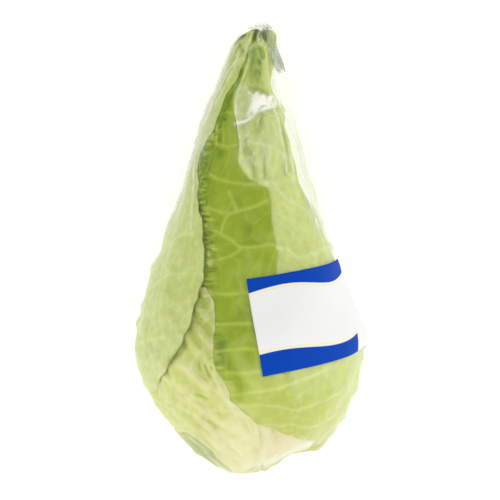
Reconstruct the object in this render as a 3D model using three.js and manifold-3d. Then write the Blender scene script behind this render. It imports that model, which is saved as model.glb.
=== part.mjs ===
// A pointed cabbage in a clear film wrap with a paper label, lying on its back.
// Units are millimetres, +Z is up, and the tip of the head points along +Y.
import * as THREE from 'three';
import { mergeVertices } from 'three/addons/utils/BufferGeometryUtils.js';
import Module from 'manifold-3d';

const wasm = await Module();
wasm.setup();

// ---- driving dimensions -------------------------------------------------------------------

const axisTiltDeg = 13; // how far the head's axis falls towards the tip
const depthShare = 0.93; // height of a cross-section over its width
const restDepth = 2.5; // how much of the round underside is pressed flat where it rests

const filmWall = 0.5;
const leafWall = 1.4;
const layerPitch = 2.7; // from one leaf layer's outer face to the next one's
const firstLayer = 1.8; // depth of the outermost leaf under the film's outer face
const leafMargin = 0.7; // a leaf's thickness at its edge
const rowCrowding = 1.35; // sets the rows closer together at a leaf's base, where it turns most
const heartDepth = firstLayer + 5 * layerPitch + 0.6;

const stemRadius = 10.5;
const stemStart = 3; // the cut face, measured along the axis
const stemEnd = 30;

// half-width of the wrapped head against the distance along its axis from the stump
const profilePoints = [
  [0, 0], [8, 0.8], [14, 4], [24, 10], [34, 16.5], [43.5, 24.5], [52.3, 36],
  [59.3, 50], [62.8, 63], [63, 76], [60.2, 90], [56.6, 103], [52.6, 116], [47, 131],
  [39, 156], [31.7, 182], [23.8, 205], [18.8, 222], [15.2, 236], [11, 245], [5, 250],
];

// how far the axis wanders sideways, as [distance along the axis, offset]
const sideways = [[0, 2.5], [40, 2.2], [80, 0.8], [120, -0.5], [160, 0], [200, 0.6], [225, 3], [250, 7.6]];

// ---- the shape of the head ----------------------------------------------------------------

const tilt = THREE.MathUtils.degToRad(axisTiltDeg);
const profile = new THREE.SplineCurve(profilePoints.map(([radius, along]) => new THREE.Vector2(radius, along)));
profile.arcLengthDivisions = 600;

function lerpList(list, x) {
  if (x <= list[0][0]) return list[0][1];
  for (let i = 1; i < list.length; i += 1) {
    const [x0, y0] = list[i - 1];
    const [x1, y1] = list[i];
    if (x <= x1) return y0 + ((y1 - y0) * (x - x0)) / (x1 - x0);
  }
  return list[list.length - 1][1];
}

// A point at share of the profile's length from the stump (0) to the neck (1), at an angle
// round the axis in degrees (0 on top, 90 towards +X), and at a depth under the outer face.
function bodyPoint(share, angleDeg, depth) {
  const at = profile.getPointAt(share);
  const along = profile.getTangentAt(share);
  const radius = Math.max(at.x - depth * along.y, 0);
  const station = at.y + depth * along.x;
  const angle = THREE.MathUtils.degToRad(angleDeg);
  const height = depthShare * radius * Math.cos(angle);
  return new THREE.Vector3(
    lerpList(sideways, station) + radius * Math.sin(angle),
    station * Math.cos(tilt) + height * Math.sin(tilt),
    -station * Math.sin(tilt) + height * Math.cos(tilt),
  );
}

function lowestUnderside() {
  let low = Infinity;
  for (let i = 0; i <= 400; i += 1) low = Math.min(low, bodyPoint(i / 400, 180, 0).z);
  return low;
}

const floorLift = -lowestUnderside() - restDepth;

// The same point, raised so that the head stands on z = 0, with its underside pressed flat.
function restPoint(share, angleDeg, depth) {
  const point = bodyPoint(share, angleDeg, depth);
  point.z = Math.max(point.z + floorLift, depth);
  return point;
}

// ---- closed surfaces ----------------------------------------------------------------------

function geometryOf(points, faces) {
  const geometry = new THREE.BufferGeometry();
  geometry.setAttribute('position', new THREE.Float32BufferAttribute(points.flatMap((p) => p.toArray()), 3));
  geometry.setIndex(faces.flat());
  return geometry;
}

// A closed slab between an outer and an inner grid of points, outer(row, column) and
// inner(row, column), with a rim round all four edges.
function slab(rows, columns, outer, inner) {
  const points = [];
  const faces = [];
  const stride = columns + 1;
  const back = (rows + 1) * stride;
  for (const side of [outer, inner]) {
    for (let i = 0; i <= rows; i += 1) {
      for (let j = 0; j <= columns; j += 1) points.push(side(i / rows, j / columns));
    }
  }
  const quad = (a, b, c, d) => faces.push([a, b, c], [a, c, d]);
  for (let i = 0; i < rows; i += 1) {
    for (let j = 0; j < columns; j += 1) {
      const a = i * stride + j;
      quad(a, a + 1, a + 1 + stride, a + stride);
      quad(back + a, back + a + stride, back + a + 1 + stride, back + a + 1);
    }
  }
  for (let j = 0; j < columns; j += 1) {
    const top = rows * stride + j;
    quad(j, back + j, back + j + 1, j + 1);
    quad(top, top + 1, back + top + 1, back + top);
  }
  for (let i = 0; i < rows; i += 1) {
    const left = i * stride;
    const right = left + columns;
    quad(left, left + stride, back + left + stride, back + left);
    quad(right, back + right, back + right + stride, right + stride);
  }
  return geometryOf(points, faces);
}

// Spreads even steps so that they lie closer together at both ends, where the outline turns.
function crowded(step) {
  return step - 0.07 * Math.sin(2 * Math.PI * step);
}

// Rings of points about the axis, closed to a point at each end.
function spindle(rings, start, end) {
  const count = rings[0].length;
  const points = [start, ...rings.flat(), end];
  const last = points.length - 1;
  const faces = [];
  const at = (ring, k) => 1 + ring * count + (k % count);
  for (let k = 0; k < count; k += 1) {
    faces.push([0, at(0, k + 1), at(0, k)]);
    faces.push([last, at(rings.length - 1, k), at(rings.length - 1, k + 1)]);
    for (let r = 0; r < rings.length - 1; r += 1) {
      faces.push([at(r, k), at(r, k + 1), at(r + 1, k + 1)], [at(r, k), at(r + 1, k + 1), at(r + 1, k)]);
    }
  }
  return geometryOf(points, faces);
}

function ringAt(share, depth, sides) {
  return Array.from({ length: sides }, (_, k) => restPoint(share, (360 * k) / sides, depth));
}

function solidOf(geometry) {
  const merged = geometry.clone();
  merged.deleteAttribute('normal');
  merged.deleteAttribute('uv');
  const welded = mergeVertices(merged, 1e-4);
  const { Manifold, Mesh } = wasm;
  return new Manifold(new Mesh({
    numProp: 3,
    vertProperties: new Float32Array(welded.attributes.position.array),
    triVerts: new Uint32Array(welded.index.array),
  }));
}

function geometryFrom(solid) {
  const mesh = solid.getMesh();
  const geometry = new THREE.BufferGeometry();
  geometry.setAttribute('position', new THREE.BufferAttribute(new Float32Array(mesh.vertProperties), 3));
  geometry.setIndex(new THREE.BufferAttribute(new Uint32Array(mesh.triVerts), 1));
  return geometry;
}

// ---- film wrap ----------------------------------------------------------------------------

const film = {
  sides: 32,
  rows: 27,
  neckShare: 0.997, // the film stays open here, where it is gathered at the tip
  tailLength: 22,
  tailWidth: 7,
  tailWall: 1.2,
};

function filmShell() {
  const shares = Array.from({ length: film.rows }, (_, i) => film.neckShare * crowded((i + 1) / film.rows));
  const outer = shares.map((share) => ringAt(share, 0, film.sides));
  const inner = shares.map((share) => ringAt(share, filmWall, film.sides)).reverse();
  return spindle([...outer, ...inner], restPoint(0, 0, 0), restPoint(0, 0, filmWall));
}

// The loose end of the film, folded over at the neck and hanging down its right side.
function filmTail() {
  const neck = restPoint(film.neckShare, 90, 0);
  const path = new THREE.CatmullRomCurve3([
    neck.clone().add(new THREE.Vector3(-3.2, 0.6, 0)),
    neck.clone().add(new THREE.Vector3(2.6, 1.4, 1)),
    neck.clone().add(new THREE.Vector3(8.5, -8, 1)),
    neck.clone().add(new THREE.Vector3(12.5, -film.tailLength, -3)),
  ]);
  const section = (share, across, side) => {
    const point = path.getPoint(share);
    const tangent = path.getTangent(share);
    const normal = new THREE.Vector3(tangent.y, -tangent.x, 0).normalize();
    const width = film.tailWidth * (0.5 + 0.5 * Math.sin(Math.PI * (0.15 + 0.6 * share)));
    point.z += (across - 0.5) * width;
    return point.addScaledVector(normal, side * film.tailWall * 0.5);
  };
  return slab(8, 3, (v, w) => section(v, w, -1), (v, w) => section(v, w, 1));
}

// ---- label --------------------------------------------------------------------------------

const label = {
  lift: -0.95, // its outer face stands this far outside the film
  wall: 0.35,
  corners: { topStart: [0.486, 0], topEnd: [0.545, 118], bottomStart: [0.299, 6.5], bottomEnd: [0.372, 110] },
};

function labelPatch() {
  const { topStart, topEnd, bottomStart, bottomEnd } = label.corners;
  const mix = THREE.MathUtils.lerp;
  const at = (v, w, depth) => {
    const share = mix(mix(bottomStart[0], bottomEnd[0], w), mix(topStart[0], topEnd[0], w), v);
    const angle = mix(mix(bottomStart[1], bottomEnd[1], w), mix(topStart[1], topEnd[1], w), v);
    return restPoint(share, angle, depth);
  };
  return slab(8, 18, (v, w) => at(v, w, label.lift), (v, w) => at(v, w, label.lift + label.wall));
}

// ---- leaves -------------------------------------------------------------------------------

// Each wrapper leaf is a patch of its layer. Its left and right edges are lists of
// [share along the profile, angle round the axis], from the base up, and its foot is a list of
// [place across the leaf from 0 to 1, share along the profile].
const leaves = {
  leaf_left: {
    layer: 0,
    top: 0.94,
    foot: [[0, 0.055], [0.22, 0.055], [0.4, 0.1], [0.57, 0.19], [0.83, 0.256], [1, 0.31]],
    left: [[0.055, -152], [0.94, -150]],
    right: [[0.31, -48], [0.334, -42], [0.389, -32], [0.456, -27], [0.558, -28], [0.667, -43], [0.766, -40],
      [0.866, -20], [0.94, -12]],
  },
  leaf_lower_left: {
    layer: 1,
    top: 0.475,
    foot: [[0, 0.06], [1, 0.06]],
    left: [[0.08, -80], [0.16, -104], [0.3, -112], [0.475, -95]],
    right: [[0.08, 8], [0.157, 6], [0.201, 5], [0.233, -2], [0.271, -10], [0.33, -17], [0.416, -16], [0.475, -23]],
  },
  leaf_front: {
    layer: 2,
    top: 0.93,
    foot: [[0, 0.3], [0.19, 0.219], [0.33, 0.166], [0.62, 0.148], [0.74, 0.12], [0.84, 0.055], [1, 0.055]],
    left: [[0.3, -38], [0.5, -58], [0.8, -66], [0.93, -60]],
    right: [[0.148, 140], [0.3, 146], [0.6, 148], [0.93, 140]],
  },
  leaf_base_left: {
    layer: 3,
    top: 0.2,
    foot: [[0, 0.075], [1, 0.075]],
    left: [[0.085, -128], [0.2, -122]],
    right: [[0.085, -48], [0.2, -44]],
  },
  leaf_base_right: {
    layer: 3,
    top: 0.45,
    foot: [[0, 0.078], [1, 0.078]],
    left: [[0.08, -20], [0.2, -14], [0.45, -10]],
    right: [[0.08, 96], [0.2, 104], [0.45, 88]],
  },
  leaf_back_left: {
    layer: 2,
    top: 0.85,
    foot: [[0, 0.062], [1, 0.062]],
    left: [[0.08, -196], [0.3, -204], [0.85, -200]],
    right: [[0.08, -132], [0.3, -104], [0.6, -92], [0.85, -100]],
  },
  leaf_back_right: {
    layer: 4,
    top: 0.85,
    foot: [[0, 0.09], [1, 0.09]],
    left: [[0.08, 84], [0.3, 74], [0.85, 80]],
    right: [[0.08, 214], [0.3, 226], [0.85, 214]],
  },
};

function leafPatch({ layer, top, foot, left, right }) {
  const depth = firstLayer + layer * layerPitch;
  const from = foot[0][1];
  const rows = Math.max(5, Math.round((top - from) * 25));
  const columns = Math.max(6, Math.round((lerpList(right, 0.4) - lerpList(left, 0.4)) / 9.5));
  const at = (v, w) => {
    const share = THREE.MathUtils.lerp(lerpList(foot, w), top, v ** rowCrowding);
    return [share, THREE.MathUtils.lerp(lerpList(left, share), lerpList(right, share), w)];
  };
  const wallAt = (v, w) => {
    const inside = Math.min(1, 8 * Math.min(w, 1 - w), 8 * (1 - v));
    return THREE.MathUtils.lerp(leafMargin, leafWall, inside);
  };
  return slab(
    rows,
    columns,
    (v, w) => restPoint(...at(v, w), depth),
    (v, w) => restPoint(...at(v, w), depth + wallAt(v, w)),
  );
}

// The closed ball of inner leaves that the wrapper leaves hold.
function heartBody() {
  const sides = 28;
  const rows = 18;
  const from = 0.16;
  const to = 0.86;
  const shares = Array.from({ length: rows + 1 }, (_, i) => from + ((to - from) * i) / rows);
  const rings = shares.map((share) => ringAt(share, heartDepth, sides));
  const middle = (ring) => ring.reduce((sum, p) => sum.add(p), new THREE.Vector3()).divideScalar(ring.length);
  const tip = middle(rings[rows]).lerp(middle(rings[rows - 1]), -1.4);
  return spindle(rings, middle(rings[0]), tip);
}

// The cut stem, a short stub whose face looks away from the tip.
function stemStub() {
  const length = stemEnd - stemStart;
  const outline = [[0, 0], [stemRadius - 2, 0], [stemRadius, 1.4], [stemRadius - 1, length * 0.5], [stemRadius - 2.5, length],
    [0, length]];
  const geometry = new THREE.LatheGeometry(outline.map(([r, y]) => new THREE.Vector2(r, y)), 24);
  geometry.rotateX(-tilt);
  const start = new THREE.Vector3(
    lerpList(sideways, stemStart),
    stemStart * Math.cos(tilt),
    -stemStart * Math.sin(tilt) + floorLift,
  );
  geometry.translate(start.x, start.y, start.z);
  return geometry;
}

// ---- materials and assembly ---------------------------------------------------------------

const finishes = {
  film: { color: '#dfe6d6', roughness: 0.12, metalness: 0, transparent: true, opacity: 0.3 },
  label: { color: '#f4f3ee', roughness: 0.4, metalness: 0 },
  outerLeaf: { color: '#b9cb76', roughness: 0.5, metalness: 0 },
  greenLeaf: { color: '#93a63a', roughness: 0.5, metalness: 0 },
  paleLeaf: { color: '#dbe09c', roughness: 0.5, metalness: 0 },
  stem: { color: '#e9dfae', roughness: 0.6, metalness: 0 },
};

const cabbage = new THREE.Group();
cabbage.name = 'pointed_cabbage';

function add(name, geometry, finish) {
  const mesh = new THREE.Mesh(geometry, new THREE.MeshStandardMaterial(finishes[finish]));
  mesh.name = name;
  cabbage.add(mesh);
  return mesh;
}

const wrap = add('film_wrap', geometryFrom(solidOf(filmShell()).add(solidOf(filmTail()))), 'film');
add('label', labelPatch(), 'label');
add('leaf_left', leafPatch(leaves.leaf_left), 'outerLeaf');
add('leaf_lower_left', leafPatch(leaves.leaf_lower_left), 'paleLeaf');
add('leaf_front', leafPatch(leaves.leaf_front), 'greenLeaf');
add('leaf_base_left', leafPatch(leaves.leaf_base_left), 'greenLeaf');
add('leaf_base_right', leafPatch(leaves.leaf_base_right), 'paleLeaf');
add('leaf_back_left', leafPatch(leaves.leaf_back_left), 'outerLeaf');
add('leaf_back_right', leafPatch(leaves.leaf_back_right), 'outerLeaf');
add('heart', heartBody(), 'paleLeaf');
add('stem', stemStub(), 'stem');

// The origin stands under the middle of the whole head.
const box = new THREE.Box3().setFromObject(wrap).union(new THREE.Box3().setFromObject(cabbage));
const centre = box.getCenter(new THREE.Vector3());
cabbage.position.set(-centre.x, -centre.y, -box.min.z);
cabbage.updateMatrixWorld(true);

export default cabbage;
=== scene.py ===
import math

import bmesh
import bpy
import numpy as np
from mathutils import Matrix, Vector


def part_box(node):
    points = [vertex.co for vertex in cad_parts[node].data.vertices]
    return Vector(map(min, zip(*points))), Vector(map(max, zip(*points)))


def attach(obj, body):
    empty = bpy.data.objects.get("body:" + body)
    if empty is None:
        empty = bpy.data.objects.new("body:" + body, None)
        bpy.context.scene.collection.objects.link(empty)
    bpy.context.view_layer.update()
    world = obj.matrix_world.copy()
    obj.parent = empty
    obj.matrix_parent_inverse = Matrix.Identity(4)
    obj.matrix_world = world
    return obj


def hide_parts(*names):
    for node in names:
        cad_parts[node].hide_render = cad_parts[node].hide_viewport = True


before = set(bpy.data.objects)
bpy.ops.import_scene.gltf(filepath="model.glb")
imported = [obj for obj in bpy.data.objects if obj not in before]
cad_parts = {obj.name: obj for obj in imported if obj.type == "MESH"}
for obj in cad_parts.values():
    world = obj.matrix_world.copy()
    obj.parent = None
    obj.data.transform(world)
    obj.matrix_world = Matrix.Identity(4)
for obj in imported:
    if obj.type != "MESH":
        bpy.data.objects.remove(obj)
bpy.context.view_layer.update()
print("frame loaded")

# Lengths in the making of the shapes are in millimetres, angles round the head in degrees,
# 0 on top and 90 to the right. A share runs along the head's outline, 0 at the stump, 1 at the neck.
millimetre = 0.001  # in metres

head = {
    "axisTilt": 13.0,  # how far the axis falls towards the tip
    "depthShare": 0.93,  # depth as a part of the width
    "restDepth": 2.5,  # how deep its weight presses it flat
    "poleRadius": 2.5,  # smallest radius on which the length of a degree is taken
    "outline": [  # half-width, distance along the axis
        (0, 0), (8, 0.8), (14, 4), (24, 10), (34, 16.5), (43.5, 24.5), (52.3, 36), (59.3, 50),
        (62.8, 63), (63, 76), (60.2, 90), (56.6, 103), (52.6, 116), (47, 131), (39, 156),
        (31.7, 182), (23.8, 205), (18.8, 222), (15.2, 236), (10.8, 244.8), (2.8, 249),
    ],
    "sideways": [  # distance along the axis, bend to the right
        (0, -3.4), (10, -0.5), (22, 1.5), (40, 2.2), (80, 0.8), (120, -0.5), (160, 0), (200, 0.6),
        (225, 3), (250, 7.6),
    ],
    "dents": [  # fuller (+) or slacker (-) than the outline in mm, shares, angles, softness of both
        (-4.6, (0.83, 0.955), (50, 130), (0.035, 30)),
        (-4.4, (0.843, 0.9), (50, 130), (0.022, 25)),
        (-0.9, (0.83, 0.9), (-130, -50), (0.03, 25)),
        (-2.1, (0.552, 0.815), (60, 130), (0.03, 25)),
        (-0.8, (0.63, 0.815), (60, 130), (0.03, 25)),
        (-1.0, (0.63, 0.81), (-135, -50), (0.05, 25)),
        (0.8, (0.56, 0.62), (-125, -65), (0.03, 22)),
        (-0.9, (0.135, 0.215), (-128, -56), (0.03, 22)),
        (-2.1, (0.075, 0.13), (36, 150), (0.025, 28)),
        (-2.4, (0.015, 0.085), (14, 72), (0.02, 9)),
        (1.3, (0.47, 0.53), (-110, -70), (0.02, 20)),
        (1.0, (0.32, 0.4), (-120, -60), (0.03, 25)),
    ],
    "slack": (4.8, (0.65, 0.815), (66, 112), (0.04, 14)),  # where the leaves fall away from the film
}


def splineThrough(points, steps=40):
    pts = np.array(points, float)
    ends = np.vstack([pts[:1], pts, pts[-1:]])
    t = np.linspace(0, 1, steps, endpoint=False)[:, None]
    runs = []
    for a, b, c, d in zip(ends, ends[1:], ends[2:], ends[3:]):
        bend = (2 * a - 5 * b + 4 * c - d) + t * (3 * b - a - 3 * c + d)
        runs.append(b + 0.5 * t * ((c - a) + t * bend))
    return np.vstack(runs + [pts[-1:]])


def lineThrough(points):
    line = splineThrough(points, 24)
    return lambda x: np.interp(x, line[:, 0], line[:, 1])


def lengthsAlong(line):
    return np.concatenate([[0], np.cumsum(np.linalg.norm(np.diff(line, axis=0), axis=1))])


outline = splineThrough(head["outline"])
arc = lengthsAlong(outline)
headLength = arc[-1]
outlineShare = arc / headLength
outlineTurn = np.gradient(outline, arc, axis=0)
sidewaysLine = lineThrough(head["sideways"])
tilt = math.radians(head["axisTilt"])


def ringRadius(share):
    return np.interp(share, outlineShare, outline[:, 0])


def fullRadius(share):
    return np.maximum(ringRadius(share), head["poleRadius"])


def perDegree(share):  # millimetres round the head in one degree
    return fullRadius(share) * math.pi / 180


def headBody(share, angle, lift):  # across, along the axis, up from the axis
    share, angle, lift = np.broadcast_arrays(share, angle, lift)
    outward = np.interp(share, outlineShare, outlineTurn[:, 1])
    along = np.interp(share, outlineShare, outlineTurn[:, 0])
    radius = np.maximum(ringRadius(share) + lift * outward, 0)
    station = np.interp(share, outlineShare, outline[:, 1]) - lift * along
    turn = np.radians(angle)
    across = sidewaysLine(station) + radius * np.sin(turn)
    return np.stack([across, station, head["depthShare"] * radius * np.cos(turn)], axis=-1)


def laidDown(body):  # from the head's own axes to the lying head, before it is set on the floor
    across, station, height = body[..., 0], body[..., 1], body[..., 2]
    return np.stack([
        across,
        station * math.cos(tilt) + height * math.sin(tilt),
        height * math.cos(tilt) - station * math.sin(tilt),
    ], axis=-1)


probe = headBody(np.linspace(0, 1, 801)[:, None], np.arange(-180, 180, 2)[None, :], 0)
lowest = laidDown(probe).reshape(-1, 3).min(axis=0)
filmCorner = np.array(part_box("film_wrap")[0]) / millimetre
headShift = np.array([filmCorner[0] - lowest[0], filmCorner[1] - lowest[1], -lowest[2] - head["restDepth"]])


def headPoint(share, angle, lift, clearance=0.0):  # a place on the lying head, kept above the floor
    points = laidDown(headBody(share, angle, lift)) + headShift
    points[..., 2] = np.maximum(points[..., 2], clearance)
    return points


# The head's surface unrolled: shares down the rows, angles across the columns.
mapRows, mapColumns = 560, 720
shareLine = np.linspace(0, 1, mapRows)
angleLine = np.arange(mapColumns) * 360 / mapColumns - 180
shareMap, angleMap = np.meshgrid(shareLine, angleLine, indexing="ij")
rowStep = headLength / (mapRows - 1)
radiusLine = fullRadius(shareLine)
bodyMap = headBody(shareMap, angleMap, 0)


def smoothstep(low, high, x):
    t = np.clip((x - low) / (high - low), 0, 1)
    return t * t * (3 - 2 * t)


def blurred(field, size):  # by the same length round the head and along it
    turns = np.fft.rfftfreq(mapColumns, 1 / mapColumns)
    wide = np.exp(-0.5 * (turns[None, :] * size / radiusLine[:, None]) ** 2)
    field = np.fft.irfft(np.fft.rfft(field, axis=1) * wide, mapColumns, axis=1)
    apart = (np.arange(mapRows)[:, None] - np.arange(mapRows)[None, :]) * rowStep
    weights = np.exp(-0.5 * (apart / size) ** 2)
    return (weights / weights.sum(axis=1, keepdims=True)) @ field


def stretchedOver(field, size, grip=1.6):  # like a tight skin over the high places
    high = field.max()
    return high + np.log(np.maximum(blurred(np.exp(grip * (field - high)), size), 1e-9)) / grip


def sampled(field, share, angle):
    row = np.clip(share, 0, 1) * (mapRows - 1)
    column = (angle + 180) / 360 * mapColumns
    r0 = np.minimum(row.astype(int), mapRows - 2)
    c0 = np.floor(column).astype(int)
    fr, fc = row - r0, column - c0
    c1, c0 = (c0 + 1) % mapColumns, c0 % mapColumns
    low = field[r0, c0] * (1 - fc) + field[r0, c1] * fc
    high = field[r0 + 1, c0] * (1 - fc) + field[r0 + 1, c1] * fc
    return low * (1 - fr) + high * fr


def waves(points, size, seed, count=16):
    rng = np.random.default_rng(seed)
    scaled = points / np.array(size, float)
    total = 0
    for _ in range(count):
        way = rng.normal(size=3)
        way /= np.linalg.norm(way)
        total = total + np.sin(scaled @ way * rng.uniform(4.2, 9.0) + rng.uniform(0, 6.28))
    return total / math.sqrt(count / 2)


def folds(points, size, seed, count=6):  # straight creases, about 0 in the valleys and 1 on the crests
    rng = np.random.default_rng(seed)
    bent = points / np.array(size, float)
    bent = bent + 0.22 * np.stack([waves(bent, (2.2, 2.2, 2.2), seed + k) for k in (1, 2, 3)], axis=-1)
    total = 0
    for _ in range(count):
        way = rng.normal(size=3)
        way /= np.linalg.norm(way)
        step = bent @ way * rng.uniform(0.45, 1.1) + rng.uniform(0, 1)
        total = total + 1 - 2 * np.abs(step % 1 - 0.5) ** 0.8
    return np.clip(total / count * 1.5 - 0.25, 0, 1.3)


def window(share, angle, shares, angles, soft=(0.03, 8)):
    inShare = smoothstep(shares[0] - soft[0], shares[0] + soft[0], share)
    inShare = inShare * (1 - smoothstep(shares[1] - soft[0], shares[1] + soft[0], share))
    middle = sum(angles) / 2
    off = np.abs((angle - middle + 180) % 360 - 180)
    half = (angles[1] - angles[0]) / 2
    return inShare * (1 - smoothstep(half - soft[1], half + soft[1], off))


def nearLine(share, angle, points, steps=5, reach=9.0):  # distance in mm to a line, up to the reach
    line = splineThrough(points, steps)
    perTurn = perDegree(share)
    beside = np.maximum(line[:, 1].min() - angle, angle - line[:, 1].max()) * perTurn
    beyond = np.maximum(line[:, 0].min() - share, share - line[:, 0].max()) * headLength
    close = np.maximum(beside, beyond) < reach
    share, angle, perTurn = share[close], angle[close], perTurn[close]
    nearest = np.full(share.shape, reach)
    for (s0, a0), (s1, a1) in zip(line, line[1:]):
        x0, y0 = (a0 - angle) * perTurn, (s0 - share) * headLength
        x1, y1 = (a1 - angle) * perTurn, (s1 - share) * headLength
        dx, dy = x1 - x0, y1 - y0
        t = np.clip(-(x0 * dx + y0 * dy) / (dx * dx + dy * dy + 1e-9), 0, 1)
        nearest = np.minimum(nearest, np.hypot(x0 + t * dx, y0 + t * dy))
    best = np.full(close.shape, reach)
    best[close] = nearest
    return best


def ridge(share, angle, line, width, steps=5):  # 1 on the line, 0 away from it
    return np.exp(-(nearLine(share, angle, line, steps) / width) ** 2)


def ridges(share, angle, lines, width):
    high = np.zeros(share.shape)
    for line in lines:
        high = np.maximum(high, ridge(share, angle, line, width))
    return high


def cellEdges(share, angle, size, seed):  # distance in mm to the walls of a jittered net of cells
    rng = np.random.default_rng(seed)
    side = 64  # cells before the net repeats
    shifts = rng.uniform(0.12, 0.88, (side, side, 2))
    x, y = angle / size[0], share * headLength / size[1]
    column, row = np.floor(x).astype(int), np.floor(y).astype(int)
    first = np.full(x.shape, 1e9)
    second = np.full(x.shape, 1e9)
    for dr in (-1, 0, 1):
        for dc in (-1, 0, 1):
            shift = shifts[(row + dr) % side, (column + dc) % side]
            away = np.hypot(column + dc + shift[..., 0] - x, row + dr + shift[..., 1] - y)
            second = np.minimum(second, np.maximum(first, away))
            first = np.minimum(first, away)
    return (second - first) * size[1] * 0.6


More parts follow.
